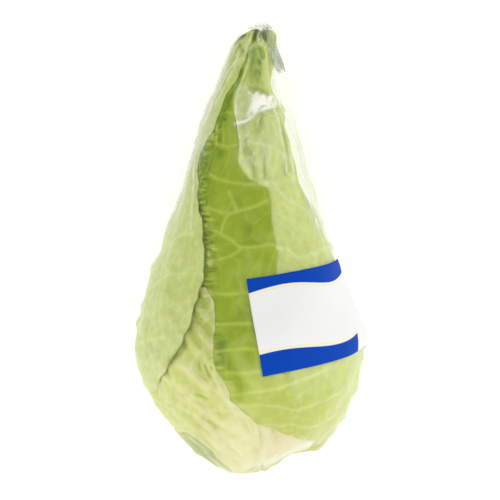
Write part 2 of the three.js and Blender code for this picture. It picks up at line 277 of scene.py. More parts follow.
# Left and right edges, veins, ribs and grooves are lines of (share, angle). The foot and the crown are
# lists of (place across, share). A groove is a line, its width and its depth. The gap is under the leaf,
# thin is the part of its wall that is left at the edges, and taper is the width over which it thins.
# Cells are the fine net's size in degrees and mm, and a swell is the height and the turn of long waves.
leaves = {
    "leaf_back_right": {
        "name": "leafBackRight", "slot": "leaf_pale_green", "gap": 0.15, "thin": 0.3, "taper": 3.5,
        "rows": 130, "columns": 130, "cells": (13, 15), "seed": 11, "wall": 1.0, "rimLift": 0.5,
        "crown": [(0, 0.992), (0.4, 0.996), (1, 0.992)],
        "foot": [(0, 0.036), (1, 0.038)],
        "left": [(0.05, 84), (0.3, 74), (0.6, 70), (0.97, 60)],
        "right": [(0.05, 214), (0.3, 226), (0.85, 214), (0.97, 214)],
        "toneTurn": [(70, 0.5), (215, 0.5)],
        "toneShare": [(0.1, 0.3), (0.3, 0.05), (0.9, 0)],
        "creamShare": [(0.06, 0.8), (0.14, 0.3), (0.22, 0)],
        "veins": [
            [(0.05, 150), (0.3, 150), (0.6, 152), (0.9, 150)],
            [(0.2, 150), (0.32, 130), (0.42, 105), (0.5, 84)],
            [(0.3, 150), (0.42, 172), (0.5, 200), (0.55, 215)],
            [(0.38, 150), (0.5, 128), (0.6, 104), (0.66, 84)],
            [(0.45, 151), (0.58, 176), (0.66, 205)],
            [(0.12, 150), (0.18, 172), (0.24, 205)],
        ],
    },
    "leaf_base_right": {
        "name": "leafBaseRight", "slot": "leaf_base", "gap": 0.05, "thin": 0.12, "taper": 9, "rows": 70,
        "columns": 90, "cells": (11, 12), "seed": 12, "wall": 1.3, "swell": (0.35, -1.4),
        "rimLift": 0.0,
        "crown": [(0, 0.42), (1, 0.42)],
        "foot": [(0, 0.034), (0.3, 0.04), (0.5, 0.032), (0.8, 0.045), (1, 0.04)],
        "left": [(0.05, -34), (0.2, -30), (0.45, -20)],
        "right": [(0.05, 96), (0.2, 104), (0.45, 88)],
        "toneTurn": [(0, 0.75), (60, 0.6), (100, 0.45)],
        "toneShare": [(0.1, 0.1), (0.2, -0.1), (0.4, -0.2)],
        "creamShare": [(0.04, 1), (0.13, 1), (0.18, 0.6), (0.25, 0.1)],
        "veins": [[(0.12, 40), (0.2, 44), (0.4, 44)]],
        "ribs": [
            [(0.05, 30), (0.11, 34), (0.16, 37), (0.24, 38)],
            [(0.05, 48), (0.11, 56), (0.15, 66), (0.2, 74)],
            [(0.05, 12), (0.1, 14), (0.15, 13), (0.2, 11)],
            [(0.06, 66), (0.1, 80), (0.15, 92)],
            [(0.06, 2), (0.1, -2), (0.15, -4)],
            [(0.05, 40), (0.12, 47), (0.17, 52)],
        ],
    },
    "leaf_base_left": {
        "name": "leafBaseLeft", "slot": "leaf_green", "gap": 0.1, "thin": 0.25, "taper": 5, "rows": 40,
        "columns": 70, "cells": (12, 9), "seed": 13, "wall": 1.1, "rimLift": 0.3,
        "crown": [(0, 0.2), (1, 0.2)],
        "foot": [(0, 0.04), (0.5, 0.038), (1, 0.036)],
        "left": [(0.05, -128), (0.2, -122)],
        "right": [(0.05, -20), (0.2, -22)],
        "toneTurn": [(-125, 0.5), (-80, 0.34), (-45, 0.36)],
        "toneShare": [(0.06, 0.1), (0.12, 0)],
        "creamShare": [(0.04, 1), (0.055, 0.7), (0.075, 0.15), (0.085, 0)],
        "veins": [[(0.06, -80), (0.1, -72), (0.17, -62)], [(0.07, -90), (0.12, -96), (0.18, -104)]],
    },
    "leaf_back_left": {
        "name": "leafBackLeft", "slot": "leaf_pale_green", "gap": 0.15, "thin": 0.3, "taper": 3.5,
        "rows": 130, "columns": 100, "cells": (12, 14), "seed": 14, "wall": 1.0, "rimLift": 0.6,
        "crown": [(0, 0.992), (0.6, 0.995), (1, 0.99)],
        "foot": [(0, 0.036), (1, 0.04)],
        "left": [(0.05, -196), (0.3, -204), (0.85, -200), (0.97, -200)],
        "right": [(0.05, -132), (0.3, -104), (0.6, -92), (0.97, -80)],
        "toneTurn": [(-200, 0.5), (-90, 0.55)],
        "toneShare": [(0.1, 0.3), (0.3, 0.05), (0.9, 0)],
        "creamShare": [(0.06, 0.8), (0.14, 0.3), (0.22, 0)],
        "veins": [
            [(0.05, -166), (0.3, -160), (0.6, -156), (0.9, -150)],
            [(0.2, -162), (0.3, -146), (0.38, -120)],
            [(0.33, -160), (0.45, -138), (0.52, -112)],
            [(0.25, -161), (0.36, -180), (0.44, -198)],
            [(0.48, -158), (0.6, -180), (0.68, -196)],
            [(0.5, -157), (0.62, -134), (0.7, -108)],
        ],
    },
    "leaf_front": {
        "name": "leafFront", "slot": "leaf_green", "gap": 0.1, "thin": 0.25, "taper": 5, "rows": 190,
        "columns": 230, "cells": (19, 19), "seed": 15, "wall": 1.1, "rimLift": 0.7, "veilAndPaintedSheen": 0.42,
        "crown": [
            (0, 0.99), (0.2, 0.998), (0.38, 0.985), (0.5, 0.999), (0.62, 0.988), (0.72, 0.999),
            (1, 0.99),
        ],
        "foot": [
            (0, 0.3), (0.16, 0.25), (0.22, 0.222), (0.27, 0.203), (0.35, 0.183), (0.405, 0.172),
            (0.51, 0.156), (0.62, 0.15), (0.7, 0.125), (0.82, 0.05), (1, 0.038),
        ],
        "left": [(0.3, -38), (0.5, -58), (0.8, -66), (0.97, -60)],
        "right": [(0.05, 140), (0.3, 146), (0.6, 148), (0.97, 140)],
        # tone by angle, deepest just right of the left leaf's edge: painted shade in the crease under it
        "toneTurn": [
            (-44, 0.14), (-34, 0.24), (-22, 0.38), (8, 0.4), (16, 0.44), (24, 0.5), (60, 0.62),
            (130, 0.62),
        ],
        "toneShare": [
            (0.12, 0.12), (0.18, 0.22), (0.25, 0.36), (0.3, 0.34), (0.35, 0.12), (0.4, 0.02), (0.8, 0),
            (0.95, 0.05),
        ],
        "creamShare": [(0.1, 0.75), (0.17, 0.62), (0.23, 0.4), (0.3, 0.14), (0.36, 0)],
        "veins": [
            [(0.689, -35), (0.678, -23), (0.672, -9), (0.67, 6), (0.674, 23), (0.656, 27),
             (0.631, 46), (0.6, 70)],
            [(0.639, 17), (0.634, 12), (0.625, 4), (0.618, -7), (0.614, -13), (0.621, -25),
             (0.627, -36)],
            [(0.618, -7), (0.637, -11), (0.656, -15)],
            [(0.614, -13), (0.595, -17), (0.576, -18)],
            [(0.592, -32), (0.576, -18), (0.562, -9), (0.549, -3), (0.55, 7), (0.556, 17),
             (0.551, 22), (0.543, 30), (0.531, 35), (0.537, 45), (0.549, 68), (0.56, 90)],
            [(0.548, -3), (0.539, -6), (0.531, -13), (0.523, -24)],
            [(0.468, -24), (0.462, -10), (0.466, 2), (0.455, 20)],
            [(0.407, -22), (0.407, -14), (0.408, -6), (0.409, 6), (0.4, 22)],
            [(0.356, -18), (0.362, -7), (0.362, 5), (0.352, 20)],
            [(0.321, -12), (0.32, -2), (0.323, 6), (0.315, 16)],
            [(0.276, -12), (0.285, 5), (0.292, 17), (0.312, 32), (0.339, 53), (0.36, 80)],
            [(0.249, -12), (0.257, 2), (0.252, 17), (0.247, 25), (0.259, 41), (0.281, 60), (0.3, 84)],
            [(0.21, 5), (0.215, 22), (0.206, 36), (0.214, 56), (0.252, 72), (0.262, 92)],
            [(0.75, -36), (0.742, -20), (0.75, 0), (0.742, 24), (0.72, 44), (0.7, 70)],
            [(0.812, -30), (0.806, -10), (0.812, 16), (0.8, 44)],
            [(0.17, 124), (0.24, 106), (0.29, 92)],
            [(0.32, 111), (0.39, 98), (0.43, 87)],
            [(0.46, 104), (0.53, 93), (0.57, 80)],
            [(0.58, 102), (0.66, 90), (0.7, 76)],
            [(0.7, 100), (0.78, 88), (0.82, 74)],
            [(0.24, 116), (0.3, 128), (0.34, 144)],
            [(0.4, 107), (0.48, 122), (0.52, 142)],
            [(0.55, 102), (0.63, 120), (0.67, 142)],
        ],
        "ribs": [[(0.05, 128), (0.16, 124), (0.3, 112), (0.45, 104), (0.7, 100), (0.93, 96)]],
        "grooves": [
            ([(0.985, -20), (0.972, -13), (0.962, -11)], 1.2, 1.6),
            ([(0.99, 16), (0.979, 13), (0.966, 17)], 1.7, 2.0),
            ([(0.944, 8), (0.932, 11), (0.922, 17)], 0.8, 1.0),
            ([(0.945, 12), (0.934, 19), (0.924, 21)], 0.7, 0.8),
            ([(0.919, 9), (0.912, 14)], 0.8, 0.7),
            ([(0.902, 11), (0.897, 14)], 0.8, 0.6),
            ([(0.746, 2), (0.716, 5), (0.691, 7)], 1.3, 0.5),
            ([(0.746, 14), (0.716, 16), (0.687, 17)], 1.2, 0.5),
            ([(0.806, 49), (0.766, 46), (0.726, 42), (0.697, 37)], 1.4, 0.6),
            ([(0.48, -21), (0.467, -18)], 0.6, 0.7),
            ([(0.551, -25), (0.536, -22)], 0.6, 0.7),
        ],
    },
    "leaf_lower_left": {
        "name": "leafLowerLeft", "slot": "leaf_base", "gap": 0.05, "thin": 0.12, "taper": 9,
        "ribWide": 2.6, "ribTall": 0.6, "swell": (0.5, -0.85), "rows": 150, "columns": 150,
        "cells": (26, 24), "seed": 16, "wall": 0.8, "rimLift": 0.0, "creamSlant": 0.002,
        "crown": [(0, 0.475), (1, 0.475)],
        "foot": [
            (0, 0.2), (0.3, 0.187), (0.41, 0.178), (0.5, 0.181), (0.57, 0.17), (0.62, 0.14),
            (0.67, 0.09), (0.72, 0.048), (0.78, 0.035), (0.88, 0.042), (1, 0.034),
        ],
        "left": [(0.05, -80), (0.16, -104), (0.3, -112), (0.475, -95)],
        "right": [
            (0.05, 12), (0.1, 10), (0.15, 8), (0.195, 5), (0.223, 1), (0.245, -6), (0.268, -10),
            (0.291, -11), (0.311, -14), (0.334, -17), (0.371, -18), (0.407, -17), (0.448, -19),
            (0.475, -23),
        ],
        "toneTurn": [(-110, 0.7), (-70, 0.6), (-35, 0.5), (-12, 0.46), (0, 0.45)],
        "toneShare": [(0.06, 0.25), (0.2, 0.25), (0.28, 0.2), (0.34, 0.02), (0.38, -0.2), (0.45, -0.4)],
        "creamShare": [(0.1, 1), (0.18, 0.85), (0.23, 0.6), (0.26, 0.25), (0.3, 0.06), (0.34, 0)],
        "veins": [[(0.241, -9), (0.275, -13), (0.322, -18)], [(0.2, 0), (0.24, -6), (0.28, -11)]],
        "ribs": [
            [(0.06, 2), (0.119, 1), (0.176, -6), (0.203, -12), (0.228, -23), (0.263, -34),
             (0.29, -44), (0.311, -54)],
            [(0.13, 0), (0.176, -5), (0.241, -9), (0.279, -15), (0.3, -24), (0.308, -29), (0.339, -37)],
            [(0.06, -3), (0.109, -3), (0.136, -10), (0.155, -20), (0.194, -36), (0.234, -53),
             (0.256, -67)],
            [(0.1, 0), (0.136, -3), (0.171, -9), (0.187, -21), (0.219, -33), (0.248, -45), (0.27, -58)],
            [(0.06, -10), (0.098, -8), (0.109, -19), (0.142, -37), (0.179, -50), (0.2, -66),
             (0.22, -84)],
            [(0.16, -2), (0.19, -8), (0.215, -17), (0.245, -27), (0.275, -37), (0.3, -46)],
        ],
        "grooves": [
            ([(0.322, -27), (0.304, -21)], 0.6, 0.9),
            ([(0.262, -34), (0.248, -23)], 0.8, 0.9),
            ([(0.24, -58), (0.228, -50)], 0.8, 1.0),
            ([(0.212, -40), (0.194, -28)], 0.8, 0.8),
            ([(0.19, -28), (0.177, -17)], 0.7, 0.7),
            ([(0.285, -19), (0.26, -12)], 0.7, 0.8),
            ([(0.3, -27), (0.286, -32), (0.27, -39)], 0.9, 0.6),
            ([(0.15, -12), (0.13, -5)], 0.8, 0.5),
        ],
    },
    "leaf_left": {
        "name": "leafLeft", "slot": "leaf_pale_green", "gap": 0.15, "thin": 0.3, "taper": 3.5,
        "soft": 0.7, "rows": 190, "columns": 160, "cells": (15, 17), "seed": 17, "wall": 1.1,
        "rimLift": 1.9,
        "crown": [
            (0, 0.985), (0.6, 0.985), (0.68, 0.974), (0.76, 0.968), (0.83, 0.978), (0.86, 0.992),
            (1, 0.995),
        ],
        "foot": [
            (0, 0.04), (0.22, 0.05), (0.36, 0.085), (0.48, 0.17), (0.58, 0.25), (0.7, 0.27),
            (0.86, 0.274), (0.94, 0.285), (1, 0.31),
        ],
        "left": [(0.05, -152), (0.94, -150)],
        "right": [
            (0.29, -52), (0.311, -49), (0.338, -41), (0.364, -35), (0.408, -30), (0.465, -26),
            (0.505, -25), (0.562, -28), (0.6, -33), (0.637, -42), (0.667, -46), (0.706, -52),
            (0.732, -53), (0.756, -50), (0.785, -44), (0.821, -41), (0.844, -38), (0.866, -28),
            (0.902, -21), (0.94, -18),
        ],
        "toneTurn": [(-150, 0.55), (-100, 0.8), (-76, 0.72), (-58, 0.55), (-40, 0.56), (-20, 0.44)],
        "toneShare": [
            (0.06, 0.35), (0.2, 0.28), (0.28, 0.22), (0.38, 0.12), (0.48, 0.02), (0.9, -0.05),
        ],
        "creamShare": [(0.05, 0.8), (0.1, 0.45), (0.17, 0.12), (0.22, 0)],
        "veins": [
            [(0.12, -120), (0.2, -112), (0.38, -99), (0.6, -88), (0.85, -80)],
            [(0.3, -104), (0.34, -86), (0.37, -66), (0.38, -46)],
            [(0.4, -97), (0.45, -80), (0.49, -58), (0.5, -36)],
            [(0.49, -92), (0.54, -76), (0.57, -56), (0.575, -38)],
            [(0.2, -110), (0.24, -94), (0.27, -78)],
            [(0.58, -88), (0.64, -72), (0.67, -56)],
            [(0.67, -86), (0.73, -70), (0.76, -52)],
            [(0.44, -81), (0.42, -66), (0.395, -54)],
            [(0.535, -76), (0.515, -62), (0.5, -50)],
            [(0.25, -118), (0.33, -131), (0.38, -147)],
            [(0.4, -113), (0.48, -127), (0.52, -145)],
            [(0.55, -109), (0.62, -123), (0.66, -143)],
            [(0.12, -121), (0.18, -134), (0.22, -148)],
        ],
        "ribs": [[(0.04, -123), (0.2, -119), (0.4, -113), (0.6, -107), (0.85, -100)]],
        "grooves": [
            ([(0.972, -52), (0.963, -60), (0.955, -69)], 0.8, 1.2),
            ([(0.954, -51), (0.94, -31)], 0.8, 0.8),
            ([(0.9, -20), (0.883, -19), (0.869, -23)], 0.9, 1.0),
            ([(0.9, -24), (0.87, -31), (0.84, -37), (0.81, -42)], 1.1, 0.8),
            ([(0.97, -26), (0.955, -22), (0.94, -24)], 0.7, 0.8),
            ([(0.345, -100), (0.33, -92), (0.322, -84)], 1.2, 0.5),
            ([(0.7, -56), (0.66, -52), (0.62, -47)], 1.2, 0.5),
        ],
    },
}

stackOrder = ["leaf_back_right", "leaf_base_right", "leaf_base_left", "leaf_back_left", "leaf_front",
              "leaf_lower_left", "leaf_left"]

paintedLightLines = [  # lines of painted light on the leaves: painted highlight along folds where paler (+), painted shade in folds, gaps and hollows where deeper (-), with their width in mm
    ([(0.987, -23), (0.971, -12), (0.957, -10)], 1.4, -1.4),
    ([(0.996, 18), (0.979, 13), (0.966, 16), (0.958, 20)], 2.0, -1.7),
    ([(0.95, -72), (0.959, -69), (0.971, -66)], 1.4, -1.9),
    ([(0.97, -66), (0.98, -48)], 1.3, -0.8),
    ([(1, 9), (0.973, 8), (0.957, 12), (0.948, 17)], 0.6, 1.0),
    ([(0.982, -14), (0.961, -16), (0.936, -23)], 0.6, 0.5),
    ([(0.955, 2), (0.946, -2), (0.934, -14), (0.911, -10), (0.882, -13), (0.861, -18)], 0.7, 0.5),
    ([(0.955, 2), (0.945, 10), (0.938, 18), (0.927, 24), (0.914, 26)], 0.6, 0.6),
    ([(0.936, 10), (0.923, 13), (0.914, 19)], 0.8, -0.8),
    ([(0.938, 15), (0.927, 20), (0.916, 22)], 0.6, -0.6),
    ([(0.911, 10), (0.904, 15)], 0.8, -0.7),
    ([(0.893, 11), (0.887, 14)], 0.8, -0.6),
    ([(0.893, -20), (0.875, -18), (0.861, -22), (0.84, -27)], 1.0, -0.7),
    ([(0.95, -55), (0.93, -28)], 0.8, -0.5),
    ([(0.921, -1), (0.9, 4), (0.877, 8)], 3.4, -0.4),
    ([(0.904, 25), (0.886, 28), (0.866, 30)], 2.2, 0.2),
    ([(0.916, -26), (0.902, -34), (0.891, -37), (0.879, -40), (0.864, -44), (0.843, -50),
      (0.82, -62)], 0.8, 0.5),
    ([(0.856, 2), (0.85, 12), (0.85, 26)], 1.9, -0.6),
    ([(0.802, 18), (0.79, 15), (0.773, 12)], 2.2, -0.35),
    ([(0.838, -30), (0.814, -32), (0.787, -32), (0.759, -32), (0.729, -28)], 2.6, -0.25),
    ([(0.796, -42), (0.771, -38), (0.746, -34)], 0.7, 0.35),
    ([(0.795, -32), (0.77, -28), (0.746, -26)], 0.7, 0.25),
    ([(0.734, -6), (0.707, -2), (0.68, 4)], 1.4, 0.25),
    ([(0.737, 2), (0.709, 5), (0.684, 6)], 1.3, -0.4),
    ([(0.721, 10), (0.695, 12), (0.671, 12)], 0.9, 0.3),
    ([(0.737, 14), (0.709, 16), (0.68, 16)], 1.1, -0.45),
    ([(0.741, 20), (0.709, 19), (0.673, 17)], 1.1, 0.35),
    ([(0.757, -2), (0.74, -3), (0.727, -2)], 1.5, -0.5),
    ([(0.8, 49), (0.761, 47), (0.72, 42), (0.691, 36)], 1.7, -0.4),
    ([(0.82, 41), (0.759, 36), (0.7, 28), (0.664, 24)], 0.9, 0.35),
    ([(0.797, -3), (0.788, -4), (0.778, -4)], 1.6, -0.35),
    ([(0.67, 22), (0.65, 24), (0.632, 30), (0.62, 49)], 0.7, 0.3),
    ([(0.55, 21), (0.539, 29), (0.534, 36), (0.537, 46), (0.543, 62)], 0.7, 0.3),
    ([(0.371, -13), (0.348, -12), (0.323, -9), (0.296, -5), (0.275, -6)], 3.4, -0.4),
    ([(0.247, -55), (0.253, -46)], 0.9, -0.6),
    ([(0.272, -31), (0.267, -24)], 0.9, -0.6),
    ([(0.224, -30), (0.214, -26), (0.204, -23)], 1.0, -0.5),
    ([(0.332, -22), (0.312, -20)], 0.7, -0.9),
    ([(0.329, -19), (0.311, -17)], 0.6, -0.8),
    ([(0.335, -26), (0.322, -25)], 0.6, -0.6),
    ([(0.366, -33), (0.346, -38), (0.334, -42)], 1.4, -0.7),
    ([(0.222, 4), (0.2, 5), (0.184, 6), (0.15, 6)], 1.2, -0.25),
]


def paintedLightOver(share, angle):
    total = np.zeros(share.shape)
    for line, width, change in paintedLightLines:
        total = total + change * ridge(share, angle, line, width)
    return total


def edgeLines(leaf):
    return tuple(lineThrough(leaf[edge]) for edge in ("left", "right", "foot", "crown"))


def angleNear(angle, leaf):  # the same angle, counted within half a turn of the leaf's middle
    left, right = edgeLines(leaf)[:2]
    middle = (left(0.4) + right(0.4)) / 2
    return (angle - middle + 180) % 360 - 180 + middle


def edgeDistances(leaf, share, angle):  # millimetres inside the left, right, foot and top edges
    left, right, foot, crown = edgeLines(leaf)
    perTurn = perDegree(share)
    across = np.clip((angle - left(share)) / (right(share) - left(share)), 0, 1)
    return ((angle - left(share)) * perTurn, (right(share) - angle) * perTurn,
            (share - foot(across)) * headLength, (crown(across) - share) * headLength)


def besideEdge(share, angle, node):  # millimetres to the right of a leaf's right edge
    return (angle - lineThrough(leaves[node]["right"])(share)) * perDegree(share)


skin = {  # what all leaves have, in mm; a leaf's own entry goes before these
    "veinTall": 0.34,
    "veinWide": 0.8,
    "netTall": 0.42,  # the fine net as a part of a vein's height
    "netWide": 0.75,
    "ribTall": 0.8,
    "ribWide": 1.5,
    "ribSpread": 14,  # how much wider the ribs grow towards the stump
    "puffTall": 0.35,  # blisters between the veins
    "puffWide": 6,
    "roughTall": 0.22,
    "pleatTall": 1.5,  # the gathered tip
    "pleatShares": (0.86, 0.965),
    "thinnest": 0.12,
    "between": 0.12,  # air over a finished leaf
    "rimWide": 4.5,  # how a free right edge curls up, and where
    "rimPatch": ((0.31, 0.93), (-80, 20), (0.04, 10)),
    "rimFades": (0.59, 0.66),
    "puckerShades": [  # painted light and dark strokes of small film wrinkles: beside which leaf's edge, strength, where they begin and end, shares, angles
        ("leaf_left", 1.0, (-1, 0.5), (2, 9.5), (0.42, 0.8), (-75, 5)),
        ("leaf_lower_left", 0.6, (-4, 0), (2, 7), (0.29, 0.4), (-40, 10)),
    ],
    "pale": (230, 235, 172),  # colours of the veins where the leaf is light, and of the painted shade in its deepest folds and gaps
    "dark": (66, 84, 22),
}


def leafRelief(leaf, share, angle):  # raised ribs and veins, and blisters between them
    place = headBody(share, angle, 0)
    drift = waves(place, (22, 22, 22), leaf["seed"] + 40)
    net = cellEdges(share + 0.012 * drift, angle + 2.2 * drift, leaf["cells"], leaf["seed"])
    fine = np.exp(-(net / skin["netWide"]) ** 2) * skin["netTall"]
    vein = np.maximum(ridges(share, angle, leaf["veins"], skin["veinWide"]), fine)
    width = leaf.get("ribWide", skin["ribWide"]) + skin["ribSpread"] * np.maximum(0.16 - share, 0)
    rib = ridges(share, angle, leaf.get("ribs", []), width)
    puff = smoothstep(0, skin["puffWide"], net) * skin["puffTall"]
    height = skin["veinTall"] * vein + leaf.get("ribTall", skin["ribTall"]) * rib + puff
    height = height + skin["roughTall"] * waves(place, (9, 12, 9), leaf["seed"] + 41)
    tall, turn = leaf.get("swell", (0, 0))
    across = place[..., 0] * math.cos(turn) + place[..., 1] * math.sin(turn)
    along = place[..., 1] * math.cos(turn) - place[..., 0] * math.sin(turn)
    slant = np.stack([across, along, place[..., 2]], axis=-1)
    height = height + tall * waves(slant, (38, 7, 20), leaf["seed"] + 42)
    for line, wide, deep in leaf.get("grooves", []):
        height = height - deep * ridge(share, angle, line, wide)
    pleat = np.abs(np.sin(np.radians(angle) * 4.5 + 0.35 * leaf["seed"] + 5 * share + 0.5 * drift))
    gather = smoothstep(*skin["pleatShares"], share)
    height = height * (1 - 0.7 * gather) + skin["pleatTall"] * gather * (pleat - 0.8)
    return height, vein * (1 - gather), rib * (1 - gather)


def leafWall(leaf, share, inside):  # thick at the stump, thin along the edges
    thick = leaf["wall"] + 1.2 * smoothstep(0.3, 0.08, share)
    soft = smoothstep(-0.05, 0.03, share - leaf.get("soft", 2))
    thin, taper = leaf["thin"] * (1 - 0.7 * soft), leaf["taper"] + 5 * soft
    return thick * (thin + (1 - thin) * smoothstep(0, taper, inside))


def alongPairs(pairs, x):
    pairs = np.array(pairs, float)
    return np.interp(x, pairs[:, 0], pairs[:, 1])


def headDents():
    dent = 0.9 * smoothstep(0.955, 0.985, shareMap)  # the leaves' tips
    for change, *patch in head["dents"]:
        dent += change * window(shareMap, angleMap, *patch)
    return dent


def stackLeaves():  # beds and crests of the leaves, each laid on those under it
    heart["surface"] = heart["depth"] + 0.5 * waves(bodyMap, (40, 60, 40), heart["seed"])
    top = heart["surface"].copy()
    for node in stackOrder:
        leaf = leaves[node]
        angle = angleNear(angleMap, leaf)
        distances = edgeDistances(leaf, shareMap, angle)
        inside, toRight = np.minimum.reduce(distances), distances[1]
        rim = leaf["rimLift"] * np.exp(-(np.maximum(toRight, 0) / skin["rimWide"]) ** 2)
        rim = rim * window(shareMap, angleMap, *skin["rimPatch"])
        rim = rim * (1 - 0.97 * smoothstep(*skin["rimFades"], shareMap))
        bed = np.maximum(top, blurred(top, 3.5)) + leaf["gap"] + rim * 0.9
        hug = (1 - smoothstep(0, 5, inside)) * (1 - np.clip(2 * rim, 0, 1))
        bed = bed * (1 - hug) + (top + 0.05) * hug
        crest = bed + leafWall(leaf, shareMap, inside) + rim * 0.3
        relief, leaf["vein"], leaf["rib"] = leafRelief(leaf, shareMap, angle)
        # how far the relief lies under its surroundings, used for painted shade in the hollows
        leaf["hollow"] = blurred(relief, 3.5) - relief
        crest = crest + relief * smoothstep(0, 4, inside)
        leaf["bed"], leaf["crest"] = bed, crest
        top = np.where(inside > 0, crest + skin["between"], top)
    slack, *patch = head["slack"]
    settle = -1.1 - slack * window(shareMap, angleMap, *patch) - blurred(top, 20) + headDents()
    heart["surface"] += settle
    for leaf in leaves.values():
        leaf["bed"] += settle
        leaf["crest"] += settle
    return top + settle


heart = {
    "rows": 90,
    "columns": 120,
    "from": 0.15,  # shares of its first and last rings
    "to": 0.93,
    "depth": -8.5,  # under the head's outline, before the leaves settle
    "seed": 5,
    "marks": {"vein": 0, "edge": 0, "tone": 0.8, "cream": 0.25, "dark": 0, "pucker": 0, "gather": 0},
}
leafTop = stackLeaves()
print("leaves stacked")

